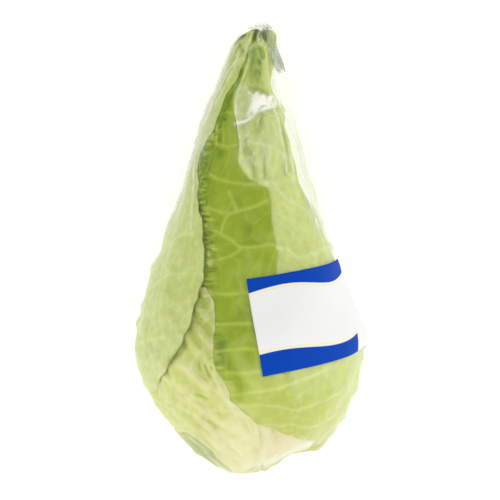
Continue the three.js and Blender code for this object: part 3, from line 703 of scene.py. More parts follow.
film = {
    "wall": 0.12,
    "clearance": 0.02,  # above the floor
    "rows": 192,
    "columns": 230,
    "rowSpread": [(0, 0), (0.1, 0.1), (0.31, 0.5), (0.95, 0.94), (1, 1)],  # (part of them, share)
    "overlap": 75,  # degrees of film under the free edge
    "edgeLift": 0.6,
    "span": 3.2,  # how widely it is stretched over the hollows between the leaves
    "stands": [  # how far it stands off the leaves, shares, angles, softness of both
        (5.4, (0.645, 0.82), (68, 110), (0.035, 16)),
        (0.7, (0.7, 0.82), (-4, 60), (0.03, 12)),
    ],
    "white": (255, 255, 238),  # colours of its creases, whose white is partly painted highlight, and of its tail, whose grey is painted shade in the gathered film
    "grey": (168, 176, 164),
    "freeEdge": [
        (0, 24), (0.176, 26), (0.241, 22), (0.4, 18), (0.505, 18), (0.541, 20), (0.592, 18),
        (0.655, 18), (0.669, 10), (0.684, 0), (0.71, -8), (0.745, -8), (0.788, -13), (0.813, -18),
        (0.852, -23), (0.884, -15), (0.922, -14), (0.952, 0), (1, 4),
    ],
    "topShare": 0.99,
    "tail": [  # across, along the axis, up from the axis
        (7.6, 249.5, 0.4), (8.4, 250, 2), (9.8, 249.2, 4.8), (11.2, 246, 7.4), (12.6, 241, 9.2),
        (14.2, 235, 9.7), (16.4, 229, 9.0), (19, 222.8, 7.6),
    ],
    "tailRows": 22,
    "tailWidth": 5.6,
    "flat": (0.31, 0.29),  # cut size in metres
    "columnSpread": [(0, 0), (0.28, 90), (0.42, 225), (0.85, 360), (1, 435)],  # (part of them, degrees)
    "creases": [  # points, width, height and whiteness of single folds; the whiteness is painted highlight along each fold
        ([(0.997, 12), (0.985, -13), (0.961, -19), (0.936, -26)], 0.45, 0.4, 0.3),
        ([(0.996, 18), (0.97, 2), (0.957, -1), (0.946, 12), (0.936, 26), (0.929, 45),
          (0.92, 72)], 0.45, 0.45, 0.45),
        ([(0.957, 0), (0.945, -5), (0.932, -16), (0.912, -20)], 0.45, 0.4, 0.3),
        ([(0.997, 30), (0.98, 40), (0.957, 42), (0.938, 40), (0.917, 42)], 0.45, 0.4, 0.4),
        ([(0.985, 30), (0.96, 32), (0.942, 33), (0.922, 34)], 0.4, 0.4, 0.3),
        ([(0.927, 8), (0.914, 14), (0.907, 23), (0.892, 30), (0.877, 33)], 0.4, 0.3, 0.15),
        ([(0.902, 40), (0.877, 42), (0.852, 44), (0.832, 46)], 0.5, 0.3, 0.35),
        ([(0.991, -23), (0.981, -37), (0.958, -48), (0.944, -57), (0.93, -59)], 0.6, 0.4, 0.3),
        ([(0.929, -33), (0.911, -31), (0.897, -40), (0.881, -46), (0.842, -54),
          (0.802, -60), (0.772, -64)], 0.8, 0.4, 0.4),
        ([(0.857, -6), (0.844, 0), (0.838, 12), (0.831, 22), (0.828, 35), (0.829, 49)], 0.6, 0.5, 0.55),
        ([(0.786, -13), (0.788, -5), (0.795, 2), (0.806, 9), (0.815, 20), (0.823, 36)], 1.3, 0.15, 0.72),
        ([(0.858, -14), (0.843, -17), (0.816, -16), (0.787, -12), (0.756, -8),
          (0.735, -7), (0.71, -7)], 0.9, 0.12, 0.34),
        ([(0.83, 48), (0.802, 58), (0.781, 57), (0.752, 56), (0.718, 56), (0.683, 59),
          (0.647, 61), (0.592, 64)], 0.8, 0.4, 0.7),
        ([(0.796, 13), (0.784, 10), (0.77, 13), (0.766, 17)], 0.45, 0.35, 0.3),
        ([(0.798, 14), (0.792, 20), (0.779, 21), (0.771, 18)], 0.45, 0.35, 0.3),
        ([(0.778, -2), (0.764, 1), (0.754, -4), (0.74, -3)], 0.8, 0.25, 0.25),
        ([(0.737, 2), (0.727, 6), (0.716, 3), (0.706, 7)], 0.8, 0.25, 0.2),
        ([(0.812, 34), (0.792, 37), (0.767, 36), (0.732, 37), (0.692, 36)], 1.0, 0.3, 0.36),
        ([(0.792, 28), (0.767, 30), (0.742, 27)], 0.9, 0.25, 0.22),
        ([(0.737, 14), (0.698, 13), (0.664, 16)], 1.1, 0.25, 0.2),
        ([(0.74, 22), (0.708, 20), (0.682, 21)], 1.0, 0.25, 0.2),
        ([(0.752, 44), (0.722, 45), (0.692, 43), (0.67, 42)], 1.1, 0.3, 0.3),
        ([(0.762, -59), (0.718, -57), (0.679, -51), (0.629, -44), (0.584, -40)], 0.6, 0.4, 0.55),
        ([(0.922, -66), (0.892, -62), (0.842, -62), (0.792, -66), (0.732, -70),
          (0.692, -70)], 0.8, 0.5, 0.5),
        ([(0.862, -58), (0.822, -60), (0.782, -64)], 0.6, 0.4, 0.5),
    ],
    "patches": {  # where small folds lie: shares, angles, softness of both
        "left": ((0.62, 0.95), (-116, -50), (0.08, 12)),
        "crumple": ((0.71, 0.85), (-14, 50), (0.012, 7)),
        "fringe": ((0.665, 0.75), (8, 50), (0.012, 6)),
        "side": ((0.59, 0.8), (62, 108), (0.05, 14)),
        "back": ((0.12, 0.9), (128, 240), (0.06, 18)),
        "pulled": ((0.46, 0.76), (-62, 0), (0.03, 5)),
    },
    "folds": [  # where, size, seed, height, whiteness of the crests, a painted highlight on them
        ("tip", (9, 34, 9), 61, 0.45, 0.08),
        ("left", (9, 80, 9), 63, 0.55, 0.24),
        ("crumple", (12, 14, 12), 65, 0.5, 0.12),
        ("fringe", (6, 60, 6), 67, 0.4, 0.12),
        ("side", (14, 60, 14), 71, 0.35, 0.12),
        ("back", (16, 34, 16), 73, 0.7, 0.1),
        ("foot", (9, 26, 9), 75, 0.6, 0.04),
        ("all", (40, 60, 40), 77, 0.22, 0.0),
    ],
    "crumple": {  # the white patch at the neck, crumpled film with a painted highlight: top and bottom as (angle, share), whiteness by angle
        "top": [
            (-22, 0.856), (-6, 0.853), (2, 0.843), (12, 0.845), (26, 0.845), (48, 0.843), (70, 0.835),
        ],
        "bottom": [
            (-22, 0.795), (-8, 0.794), (0, 0.796), (6, 0.801), (12, 0.808), (18, 0.813), (30, 0.82),
            (60, 0.826),
        ],
        "whiteness": [
            (-16, 0), (-12, 0.4), (-6, 0.35), (0, 0.6), (5, 0.95), (12, 1), (40, 0.95), (54, 0.6),
            (64, 0),
        ],
    },
}

label = {
    "corners": {  # share and angle
        "topStart": (0.489, 0), "topEnd": (0.547, 124), "bottomStart": (0.314, 6), "bottomEnd": (0.38, 110),
    },
    "grid": (44, 90),
    "panel": 0.565,  # how much of its length is the printed front
    "panelSlant": 0.062,
    "dip": 0.03,  # how far its end falls back down the narrowing head, and from where
    "dipFrom": 0.63,
    "wall": 0.16,
    "lift": 0.3,
    "castFrom": 7.0,  # rays run inward from here to meet the film
    "castTo": -6.0,
    "castReach": 30.0,
    "flat": (0.107, 0.054),  # cut size in metres
    "paper": ((248, 247, 246), (238, 238, 238)),
    "blue": (0, 68, 180),
    "cream": (245, 242, 204),
}


def labelPlace(across, up):
    corner = label["corners"]
    side = lambda name, k: corner[name + "Start"][k] * (1 - across) + corner[name + "End"][k] * across
    share, angle = (side("bottom", k) * (1 - up) + side("top", k) * up for k in (0, 1))
    return share - label["dip"] * smoothstep(label["dipFrom"], 1, across), angle


def labelMask(share, angle):  # 1 under the label, where the film lies smooth
    dip = label["dip"] * smoothstep(78, 124, angle)
    low = 0.313 + (angle - 6) * 0.00065 - dip
    high = 0.49 + angle * 0.0005 - 0.6 * dip
    inside = np.minimum((share - low) * headLength, (high - share) * headLength)
    beside = np.minimum(angle + 2, 120 - angle) * perDegree(share)
    return smoothstep(-5, 1, np.minimum(inside, beside))


def filmBed():  # the film without its creases, with its neck drawn in
    snug = np.maximum(leafTop + 0.35, stretchedOver(leafTop, film["span"]) + 0.3)
    bed = snug + sum(height * window(shareMap, angleMap, *patch) for height, *patch in film["stands"])
    neck = smoothstep(0.955, 0.985, shareMap)
    bed = bed * (1 - neck) + 1.2 * neck
    quiet = labelMask(shareMap, angleMap)
    return bed * (1 - quiet) + np.maximum(blurred(bed, 5) + 0.25, snug) * quiet


def neckPatch(share, angle, place):  # whiteness of the creased patch at the neck, partly milky film and partly painted highlight
    edge = {side: alongPairs(points, angle) for side, points in film["crumple"].items()}
    rough = 0.0035 * waves(place, (4, 4, 4), 85) + 0.008 * (folds(place, (8, 8, 8), 87) - 0.4)
    cloud = edge["whiteness"] * smoothstep(-0.007, 0.009, share + rough - edge["bottom"])
    cloud = cloud * smoothstep(-0.005, 0.008, edge["top"] - share + 0.6 * rough)
    broken = 0.55 * smoothstep(8, -2, angle) + 0.15
    return cloud * (1 - broken * (1 - smoothstep(0.1, 0.4, folds(place, (7, 7, 7), 89))))


def pulledFolds(share, angle, place, where):  # short folds square to the left leaf's free edge, with painted glints on their crests
    beside = besideEdge(share, angle, "leaf_left")
    along = share * headLength + 0.16 * beside * waves(place, (30, 30, 30), 81)
    gather = np.abs(np.sin(along * 2 * math.pi / 6.4 + 1.6 * waves(place, (26, 16, 26), 83)))
    pull = smoothstep(-0.5, 1.0, beside) * (1 - smoothstep(1.5, 7, beside)) * where
    return 0.2 * pull * (1 - gather), 0.1 * pull * smoothstep(0.6, 0.0, gather)


def filmRelief(share, angle):  # height and whiteness of its creases; the whiteness is partly milky film, partly painted highlight
    place = headBody(share, angle, 0)
    angle = (angle + 180) % 360 - 180
    where = {name: window(share, angle, *patch) for name, patch in film["patches"].items()}
    where["left"] *= 1 - 0.6 * window(share, angle, (0.5, 0.72), (-60, 0), (0.02, 8))
    where["tip"] = smoothstep(0.87, 0.96, share)
    where["foot"] = smoothstep(0.17, 0.05, share)
    where["all"] = np.ones(share.shape)
    height, haze = 0, 0
    for name, size, seed, tall, white in film["folds"]:
        fold = folds(place, size, seed)
        height = height + tall * where[name] * fold
        haze = haze + white * where[name] * smoothstep(0.35, 0.95, fold)
    # whiteness over the left side: its streaked film with a painted reflection of the light there
    haze = haze + 0.36 * where["left"] + 0.04 * where["crumple"]
    haze = haze + where["side"] * (0.5 + 0.08 * waves(place, (7, 60, 9), 91))
    mottle = np.clip(0.8 + 0.3 * waves(place, (14, 9, 14), 79), 0.35, 1.15)
    for points, width, tall, white in film["creases"]:
        near = ridge(share, angle, points, width, 3)
        height = np.maximum(height, tall * near + 0.6 * height)
        haze = np.maximum(haze, white * near * mottle) + 0.2 * white * near
    haze = np.maximum(haze, neckPatch(share, angle, place))
    pulledHeight, pulledGlint = pulledFolds(share, angle, place, where["pulled"])
    quiet = labelMask(share, angle)
    return (height + pulledHeight) * (1 - quiet), np.clip((haze + pulledGlint) * (1 - quiet), 0, 1)


filmTop = filmBed()
print("film stretched over the leaves")


def meshPiece(name, points, quads, marks=None, uv=None):
    mesh = bpy.data.meshes.new(name)
    mesh.vertices.add(len(points))
    mesh.vertices.foreach_set("co", (points * millimetre).astype(np.float32).ravel())
    mesh.loops.add(quads.size)
    mesh.loops.foreach_set("vertex_index", quads.astype(np.int32).ravel())
    mesh.polygons.add(len(quads))
    mesh.polygons.foreach_set("loop_start", np.arange(0, quads.size, 4, dtype=np.int32))
    mesh.update(calc_edges=True)
    for key, values in (marks or {}).items():
        layer = mesh.attributes.new(key, "FLOAT", "POINT")
        layer.data.foreach_set("value", values.astype(np.float32).ravel())
    if uv is not None:
        layer = mesh.uv_layers.new(name="UVMap")
        layer.data.foreach_set("uv", uv[quads.ravel()].astype(np.float32).ravel())
    mesh.polygons.foreach_set("use_smooth", np.ones(len(quads), bool))
    piece = bpy.data.objects.new(name, mesh)
    bpy.context.collection.objects.link(piece)
    return piece


def gridQuads(rows, columns, offset=0, flip=False):
    a = offset + np.arange(rows)[:, None] * (columns + 1) + np.arange(columns)[None, :]
    corners = [a, a + 1, a + columns + 2, a + columns + 1]
    if flip:
        corners.reverse()
    return np.stack(corners, axis=-1).reshape(-1, 4)


def slabQuads(rows, columns):  # two grids, front and back, and the four rims between them
    back = (rows + 1) * (columns + 1)
    stride = columns + 1
    j = np.arange(columns)
    top = rows * stride + j
    i = np.arange(rows) * stride
    right = i + columns
    return np.concatenate([
        gridQuads(rows, columns),
        gridQuads(rows, columns, back, True),
        np.stack([j, back + j, back + j + 1, j + 1], axis=-1),
        np.stack([top, top + 1, back + top + 1, back + top], axis=-1),
        np.stack([i, i + stride, back + i + stride, back + i], axis=-1),
        np.stack([right, back + right, back + right + stride, right + stride], axis=-1),
    ])


def ringQuads(rows, count, first=0):  # between rings of points that close on themselves
    row, step = np.meshgrid(np.arange(rows), np.arange(count), indexing="ij")
    here, after = first + row * count + step, first + row * count + (step + 1) % count
    return np.stack([here, after, after + count, here + count], axis=-1).reshape(-1, 4)


def leafGrid(leaf):  # the shares and angles of its points, with ragged edges
    left, right, foot, crown = edgeLines(leaf)
    v = np.linspace(0, 1, leaf["rows"] + 1)[:, None]
    w = np.linspace(0, 1, leaf["columns"] + 1)[None, :]
    w = w - 0.045 * np.sin(2 * math.pi * w)  # closer columns along the edges
    share = foot(w) * (1 - v) + crown(w) * v
    angle = left(share) * (1 - w) + right(share) * w
    rag = waves(headBody(share, angle, 0), (16, 9, 16), leaf["seed"] + 50)
    side = np.clip(np.abs(2 * w - 1) * 6 - 5, 0, 1)
    angle = angle + rag * side * 22 / np.maximum(ringRadius(share), 12)
    share = share + rag * 0.0035 * np.clip(6 * (1 - 2 * v) - 5, 0, 1) * smoothstep(0.1, 0.14, share)
    return share, angle


def puckerShades(share, angle, node, strength, rise, fall, shares, angles):
    beside = besideEdge(share, angle, node)
    near = smoothstep(*rise, beside) * (1 - smoothstep(*fall, beside))
    return strength * near * window(share, angle, shares, angles)


def leafMarks(leaf, share, angle, inside):  # what the leaf's material reads
    # painted shade (-) and painted highlight (+) from the lines of painted light
    shade = sampled(paintedLightMap, share, angle)
    hollow = sampled(leaf["hollow"], share, angle)
    # painted sheen: right of the film's free edge the leaf is painted paler, standing in for the film's
    # broad reflection there
    veilAndPaintedSheen = smoothstep(-1.5, 3, angle - lineThrough(film["freeEdge"])(share)) * smoothstep(0.27, 0.36, share)
    veilAndPaintedSheen = veilAndPaintedSheen * (1 - 0.35 * smoothstep(0.85, 0.9, share))
    tone = alongPairs(leaf["toneTurn"], angle) + alongPairs(leaf["toneShare"], share)
    # painted shade: the tone is deeper in the hollows of the relief
    tone = tone + leaf.get("veilAndPaintedSheen", 0) * veilAndPaintedSheen - 0.2 * np.clip(hollow, -0.2, 0.5)
    cream = alongPairs(leaf["creamShare"], share - leaf.get("creamSlant", 0) * np.clip(angle, -80, 10))
    # painted shade: on swelling leaves the cream gives way to green in the hollows
    if "swell" in leaf:
        cream = cream - 0.55 * np.clip(hollow, -0.3, 0.7)
    return {
        "vein": sampled(leaf["vein"], share, angle),
        "rib": sampled(leaf["rib"], share, angle),
        "edge": np.exp(-inside / 1.4),
        "tone": tone + np.clip(shade, -0.6, 0.6),
        "cream": cream,
        "dark": np.clip(-0.6 - shade, 0, 1),
        "pucker": sum(puckerShades(share, angle, *entry) for entry in skin["puckerShades"]),
        "gather": smoothstep(0.8, 0.9, share),
    }


def leafPiece(node):
    leaf = leaves[node]
    share, angle = leafGrid(leaf)
    inside = np.maximum(np.minimum.reduce(edgeDistances(leaf, share, angle)), 0)
    wrap = sampled(filmTop, share, angle)
    bed = sampled(leaf["bed"], share, angle)
    crest = np.minimum(sampled(leaf["crest"], share, angle), wrap - film["wall"])
    under = np.maximum(bed, crest - leafWall(leaf, share, inside) - 0.5)
    under = np.minimum(under, crest - skin["thinnest"])
    outer = headPoint(share, angle, crest, wrap - crest)
    inner = headPoint(share, angle, under, wrap - under)
    points = np.concatenate([outer.reshape(-1, 3), inner.reshape(-1, 3)])
    marks = {key: np.tile(np.broadcast_to(field, share.shape).ravel(), 2)
             for key, field in leafMarks(leaf, share, angle, inside).items()}
    piece = meshPiece(leaf["name"], points, slabQuads(leaf["rows"], leaf["columns"]), marks)
    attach(piece, "root")
    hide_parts(node)
    return piece


paintedLightMap = paintedLightOver(shareMap, angleMap)
pieces = {node: leafPiece(node) for node in stackOrder}
print("leaves made")


def heartPiece():
    count = heart["columns"]
    share = np.linspace(heart["from"], heart["to"], heart["rows"] + 1)[:, None]
    angle = (np.arange(count) * 360 / count - 180)[None, :]
    share, angle = np.broadcast_arrays(share, angle)
    wrapped = (angle / 360 * 5 + share * 6.5) % 1  # the edge of one inner leaf over the next
    lift = sampled(heart["surface"], share, angle) - 0.9 * smoothstep(0.85, 1, wrapped) - 0.5 * wrapped
    lift = lift + 0.25 * waves(headBody(share, angle, 0), (14, 20, 14), heart["seed"] + 2)
    rings = headPoint(share, angle, lift, 0.15 - lift)
    foot = rings[0].mean(axis=0)
    tip = rings[-1].mean(axis=0) * 1.6 - rings[-2].mean(axis=0) * 0.6
    points = np.vstack([foot, rings.reshape(-1, 3), tip])
    k = np.arange(0, count, 2)
    around = lambda step: 1 + step % count
    low = np.stack([0 * k, around(k + 2), around(k + 1), around(k)], axis=-1)
    last, top = len(points) - 1, heart["rows"] * count
    high = np.stack([0 * k + last, top + around(k), top + around(k + 1), top + around(k + 2)], axis=-1)
    fold = np.concatenate([[0], wrapped.ravel(), [0]])
    marks = {key: np.full(len(points), value) for key, value in heart["marks"].items()}
    marks["rib"] = np.exp(-((1 - fold) / 0.03) ** 2)
    quads = np.concatenate([ringQuads(heart["rows"], count, 1), low, high])
    piece = meshPiece("heartLeaves", points, quads, marks)
    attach(piece, "root")
    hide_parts("heart")
    return piece


pieces["heart"] = heartPiece()


def alongList(pairs, count):
    return alongPairs(pairs, np.linspace(0, 1, count + 1))


def filmPiece():
    share = alongList(film["rowSpread"], film["rows"])[:, None] * film["topShare"]
    turn = alongList(film["columnSpread"], film["columns"])[None, :]
    start = lineThrough(film["freeEdge"])(share)
    angle = (start + turn + 180) % 360 - 180
    share, angle = np.broadcast_arrays(share, angle)
    height, haze = filmRelief(share, angle)
    lift = sampled(filmTop, share, angle) + height
    under = 1 - smoothstep(film["overlap"] + 5, film["overlap"] + 45, turn)
    quiet = labelMask(share, angle)
    curl = 0.5 * np.exp(-turn / 2.5) * (0.5 + 0.5 * np.sin(share * 70))
    curl = curl * (1 - quiet) * (1 - smoothstep(0.82, 0.9, share))
    edgeLift = film["edgeLift"] * (1 - 0.5 * smoothstep(0.8, 0.9, share))
    lift = lift + (edgeLift * under + curl) * smoothstep(0.02, 0.12, share)
    veilAndPaintedSheen = 0.07 * (1 - smoothstep(60, 130, turn)) + 0.1 * np.exp(-turn / 1.2)
    haze = haze + veilAndPaintedSheen * smoothstep(0.24, 0.36, share)
    haze = np.where(turn > 359, 0, haze)
    clearance = film["clearance"] + 0.3 * (1 - under)
    outer = headPoint(share, angle, lift + film["wall"], clearance)
    inner = headPoint(share, angle, lift, clearance + film["wall"])
    layers = []
    for body, wall in ((outer, film["wall"]), (inner, 0.0)):
        tail, tailHaze = filmTail(angle[-1:], lift[-1:] + wall, under)
        layers.append(np.concatenate([body.reshape(-1, 3), tail.reshape(-1, 3)]))
    hazeAndGlintAll = np.concatenate([haze.ravel(), tailHaze.ravel()])
    rows = film["rows"] + film["tailRows"]
    u, v = np.meshgrid(np.linspace(0, 1, film["columns"] + 1), np.linspace(0, 1, rows + 1))
    uv = np.tile(np.stack([u.ravel(), v.ravel()], axis=-1), (2, 1))
    dusk = np.concatenate([0 * haze.ravel(), 1 + 0 * tailHaze.ravel()])
    marks = {"haze": np.concatenate([hazeAndGlintAll, 0 * hazeAndGlintAll]), "skin": np.repeat([1.0, 0.0], len(hazeAndGlintAll)),
             "dusk": np.tile(dusk, 2)}
    piece = meshPiece("filmWrap", np.concatenate(layers), slabQuads(rows, film["columns"]), marks, uv)
    closePole(piece)
    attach(piece, "root")
    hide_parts("film_wrap")
    return piece


def filmTail(angle, lift, under):  # the gathered end, folded over and flattened
    neck = headBody(film["topShare"], 0, 0)
    path = splineThrough([(neck[0], neck[1], 0)] + film["tail"], 30)
    length = lengthsAlong(path)
    t = np.linspace(0, 1, film["tailRows"] + 1)[1:, None] ** 1.5
    around = np.radians(angle)
    rag = 0.06 * (0.5 + 0.5 * np.sin(around * 3 + 0.6)) + 0.03 * np.sin(around * 11)
    reach = t * (1 - np.maximum(rag, 0) * t ** 3) * length[-1]
    centre = np.stack([np.interp(reach, length, path[:, i]) for i in range(3)], axis=-1)
    ahead = np.gradient(centre, axis=0)
    across = np.stack([1 + 0 * reach, 0.32 * t + 0 * reach, 0 * reach], axis=-1)
    across /= np.linalg.norm(across, axis=-1, keepdims=True)
    out = np.cross(across, ahead)
    out /= np.linalg.norm(out, axis=-1, keepdims=True)
    gather = smoothstep(0, 0.12, t)
    top = float(ringRadius(film["topShare"]))
    flare = 0.8 + 0.2 * t - 0.3 * smoothstep(0.85, 1, t)
    halfWidth = top * (1 - gather) + film["tailWidth"] / 2 * flare * gather
    halfDepth = top * head["depthShare"] * (1 - gather) + 0.75 * gather
    pleat = 0.2 * gather * np.sin(around * 5 + 2.5 * t) + 0.1 * gather * np.sin(around * 8 - 3 * t) * t
    grow = pleat + 0.35 * under + lift * (1 - gather)
    wide = (halfWidth + grow * 0.6) * np.sin(around)
    deep = (halfDepth + grow) * np.cos(around)
    tail = centre + across * wide[..., None] + out * deep[..., None]
    haze = 0.1 + 0.26 * smoothstep(0.4, 0.85, t) + 0.1 * smoothstep(0.05, 0.25, pleat)
    return laidDown(tail) + headShift, np.broadcast_to(haze, tail.shape[:2])


def closePole(piece):  # the first ring of each side becomes one point
    bm = bmesh.new()
    bm.from_mesh(piece.data)
    bm.verts.ensure_lookup_table()
    starts = (0, len(bm.verts) // 2)
    rings = [[bm.verts[start + k] for k in range(film["columns"] + 1)] for start in starts]
    for ring in rings:
        middle = sum((v.co for v in ring), Vector()) / len(ring)
        bmesh.ops.pointmerge(bm, verts=ring, merge_co=middle)
    bm.to_mesh(piece.data)
    bm.free()


pieces["film"] = filmPiece()
print("film made")


def tint(red, green, blue):  # a colour as it is seen on a screen, 0 to 255
    straight = lambda c: c / 12.92 if c <= 0.04045 else ((c + 0.055) / 1.055) ** 2.4
    return tuple(straight(c / 255) for c in (red, green, blue)) + (1.0,)


class Wire:  # a value among the nodes that can be used in a sum
    def __init__(self, board, socket):
        self.board, self.socket = board, socket

    def __add__(self, other):
        return self.board.maths("ADD", self, other)

    def __radd__(self, other):
        return self.board.maths("ADD", other, self)

    def __sub__(self, other):
        return self.board.maths("SUBTRACT", self, other)

    def __rsub__(self, other):
        return self.board.maths("SUBTRACT", other, self)

    def __mul__(self, other):
        return self.board.maths("MULTIPLY", self, other)

    def __rmul__(self, other):
        return self.board.maths("MULTIPLY", other, self)

    def __pow__(self, other):
        return self.board.maths("POWER", self, other)


class Board:  # the nodes of a material, of the world or of a modifier
    def __init__(self, tree):
        self.tree = tree
        tree.nodes.clear()

    def node(self, kind, settings=None, inputs=None, out=0):
        made = self.tree.nodes.new(kind)
        for key, value in (settings or {}).items():
            if key == "stops":
                setStops(made.color_ramp, value)
            else:
                setattr(made, key, value)
        for key, value in (inputs or {}).items():
            self.feed(made.inputs[key], value)
        return Wire(self, made.outputs[out]) if len(made.outputs) else made

    def feed(self, socket, value):
        if isinstance(value, Wire):
            self.tree.links.new(value.socket, socket)
        else:
            socket.default_value = value

    def maths(self, operation, first, second=0.0, clamp=False):
        settings = {"operation": operation, "use_clamp": clamp}
        return self.node("ShaderNodeMath", settings, {0: first, 1: second})

    def clamped(self, value):
        return self.maths("ADD", value, 0.0, True)

    def span(self, value, low, high, toLow=0.0, toHigh=1.0):
        sockets = {"Value": value, "From Min": low, "From Max": high, "To Min": toLow, "To Max": toHigh}
        return self.node("ShaderNodeMapRange", {"interpolation_type": "SMOOTHSTEP"}, sockets)

    def blend(self, part, first, second, way="MIX"):
        settings = {"data_type": "RGBA", "blend_type": way, "clamp_factor": True}
        return self.node("ShaderNodeMix", settings, {0: part, 6: first, 7: second}, 2)

    def grey(self, value):
        return self.node("ShaderNodeCombineColor", None, {0: value, 1: value, 2: value})

    def mark(self, name):
        return self.node("ShaderNodeAttribute", {"attribute_name": name}, None, "Fac")

    def noise(self, place, scale, detail=3.0, roughness=0.5):
        sockets = {"Vector": place, "Scale": scale, "Detail": detail, "Roughness": roughness}
        return self.node("ShaderNodeTexNoise", None, sockets, "Fac")

    def stretched(self, place, scale):
        return self.node("ShaderNodeMapping", None, {"Vector": place, "Scale": scale})

    def bump(self, height, strength, distance):
        sockets = {"Height": height, "Strength": strength, "Distance": distance}
        return self.node("ShaderNodeBump", None, sockets)

    def place(self):
        return self.node("ShaderNodeTexCoord", None, None, "Object")

    def seen(self):  # 1 on what the camera sees, straight or through a clear or glossy surface
        ray = self.node("ShaderNodeLightPath").socket.node.outputs
        straight, glossy, through = (
            Wire(self, ray[name]) for name in ("Is Camera Ray", "Is Glossy Ray", "Is Transmission Ray"))
        return self.clamped(straight + glossy + through)

    def surface(self, colour, rough, relief, shine=0.5):
        return self.node("ShaderNodeBsdfPrincipled", None, {
            "Base Color": colour, "Roughness": rough, "Normal": relief, "Specular IOR Level": shine})

    def mixed(self, part, first, second):
        return self.node("ShaderNodeMixShader", None, {0: part, 1: first, 2: second})


def setStops(ramp, stops):
    while len(ramp.elements) > 1:
        ramp.elements.remove(ramp.elements[-1])
    ramp.elements[0].position, ramp.elements[0].color = stops[0]
    for position, colour in stops[1:]:
        ramp.elements.new(position).color = colour


def newMaterial(name):
    material = bpy.data.materials.new(name)
    material.use_nodes = True
    return material, Board(material.node_tree)


def finishMaterial(board, shader):
    board.node("ShaderNodeOutputMaterial", None, {"Surface": shader})


def newGeometryTree(name, inputs):
    tree = bpy.data.node_groups.new(name, "GeometryNodeTree")
    for socket, kind in inputs:
        tree.interface.new_socket(socket, in_out="INPUT", socket_type="NodeSocket" + kind)
    tree.interface.new_socket("Geometry", in_out="OUTPUT", socket_type="NodeSocketGeometry")
    board = Board(tree)
    start = tree.nodes.new("NodeGroupInput")
    return board, {socket: Wire(board, start.outputs[socket]) for socket, kind in inputs}


def finishGeometryTree(board, geometry, material):
    real = board.node("GeometryNodeRealizeInstances", None, {"Geometry": geometry})
    painted = board.node("GeometryNodeSetMaterial", None, {"Geometry": real, "Material": material})
    board.node("NodeGroupOutput", None, {"Geometry": painted})
    return board.tree


def setInputs(modifier, values):
    for item in modifier.node_group.interface.items_tree:
        if item.in_out == "INPUT" and item.name in values:
            modifier[item.identifier] = values[item.name]


def applyModifiers(piece):
    shaped = bpy.data.meshes.new_from_object(piece.evaluated_get(bpy.context.evaluated_depsgraph_get()))
    piece.modifiers.clear()
    piece.data = shaped


backLook = {
    "deep": (142, 162, 60), "mid": (182, 196, 108), "light": (212, 220, 146), "cream": (232, 226, 170),
    "vein": (216, 224, 152),
}
leafLooks = {
    "leaf_front": {
        "deep": (106, 132, 2), "mid": (152, 173, 34), "light": (212, 221, 124), "cream": (216, 211, 116),
        "vein": (196, 211, 88),
    },
    "leaf_left": {
        "deep": (140, 162, 50), "mid": (192, 205, 110), "light": (226, 230, 168), "cream": (232, 230, 176),
        "vein": (218, 226, 158),
    },
    "leaf_lower_left": {
        "deep": (168, 182, 78), "mid": (205, 211, 116), "light": (227, 229, 152), "cream": (238, 229, 184),
        "vein": (239, 236, 186), "ribShow": 0.42,
    },
    "leaf_base_left": {
        "deep": (140, 154, 70), "mid": (186, 192, 112), "light": (206, 210, 134), "cream": (226, 220, 164),
        "vein": (206, 210, 140),
    },
    "leaf_base_right": {
        "deep": (206, 208, 128), "mid": (222, 216, 150), "light": (234, 224, 172), "cream": (238, 225, 184),
        "vein": (244, 236, 198),
    },
    "leaf_back_left": backLook,
    "leaf_back_right": backLook,
    "heart": {
        "deep": (170, 184, 88), "mid": (206, 210, 130), "light": (226, 226, 158), "cream": (236, 230, 176),
        "vein": (236, 236, 180),
    },
}


def leafMaterial(name, look):
    material, board = newMaterial(name)
    place = board.place()
    broad = board.noise(place, 26.0, 3.0)
    fine = board.noise(place, 240.0, 4.0, 0.6)
    grain = board.noise(place, 900.0, 2.0)
    cells = board.node("ShaderNodeTexVoronoi", {"feature": "DISTANCE_TO_EDGE"},
                       {"Vector": place, "Scale": 300.0}, "Distance")
    net = 1 - board.span(cells, 0.0, 0.09)
    strokes = board.noise(board.stretched(place, (0.16, 1.0, 0.5)), 520.0, 3.0, 0.6)
    crinkles = board.noise(board.stretched(place, (1.0, 0.14, 1.0)), 420.0, 3.0, 0.6)
    # painted highlight and shade: light and dark strokes beside the leaf edges stand for small film
    # wrinkles
    tone = board.mark("tone") + (broad - 0.5) * 0.5 + (strokes - 0.52) * board.mark("pucker") * 3.2
    tone = board.clamped(tone + (crinkles - 0.5) * board.mark("gather") * 1.6)
    stops = [(0.0, tint(*look["deep"])), (0.4, tint(*look["mid"])), (1.0, tint(*look["light"]))]
    colour = board.node("ShaderNodeValToRGB", {"stops": stops}, {0: tone})
    cream = board.clamped(board.mark("cream") + (broad - 0.5) * 0.25 * board.mark("cream"))
    colour = board.blend(cream, colour, tint(*look["cream"]))
    paleVein = board.blend(board.span(tone, 0.5, 0.95), tint(*look["vein"]), tint(*skin["pale"]))
    colour = board.blend(board.mark("vein") * 0.7 + net * 0.05, colour, paleVein)
    colour = board.blend(board.mark("rib") * look.get("ribShow", 0.6), colour, paleVein)
    colour = board.blend(board.mark("edge") * 0.4, colour, paleVein)
    # painted shade: where the painted lines are deepest the leaf turns dark green
    colour = board.blend(board.mark("dark"), colour, tint(*skin["dark"]))
    freckle = board.span(fine, 0.3, 0.7, 0.91 + 0.06 * cream, 1.05 - 0.03 * cream)
    colour = board.blend(1.0, colour, board.grey(freckle), "MULTIPLY")
    relief = board.bump((fine * 0.6 + net * 0.35) * (1 - 0.6 * cream) + grain * 0.2, 0.5, 0.0006)
    finishMaterial(board, board.surface(colour, 0.42 + 0.16 * broad + 0.08 * fine, relief, 0.2))
    return material


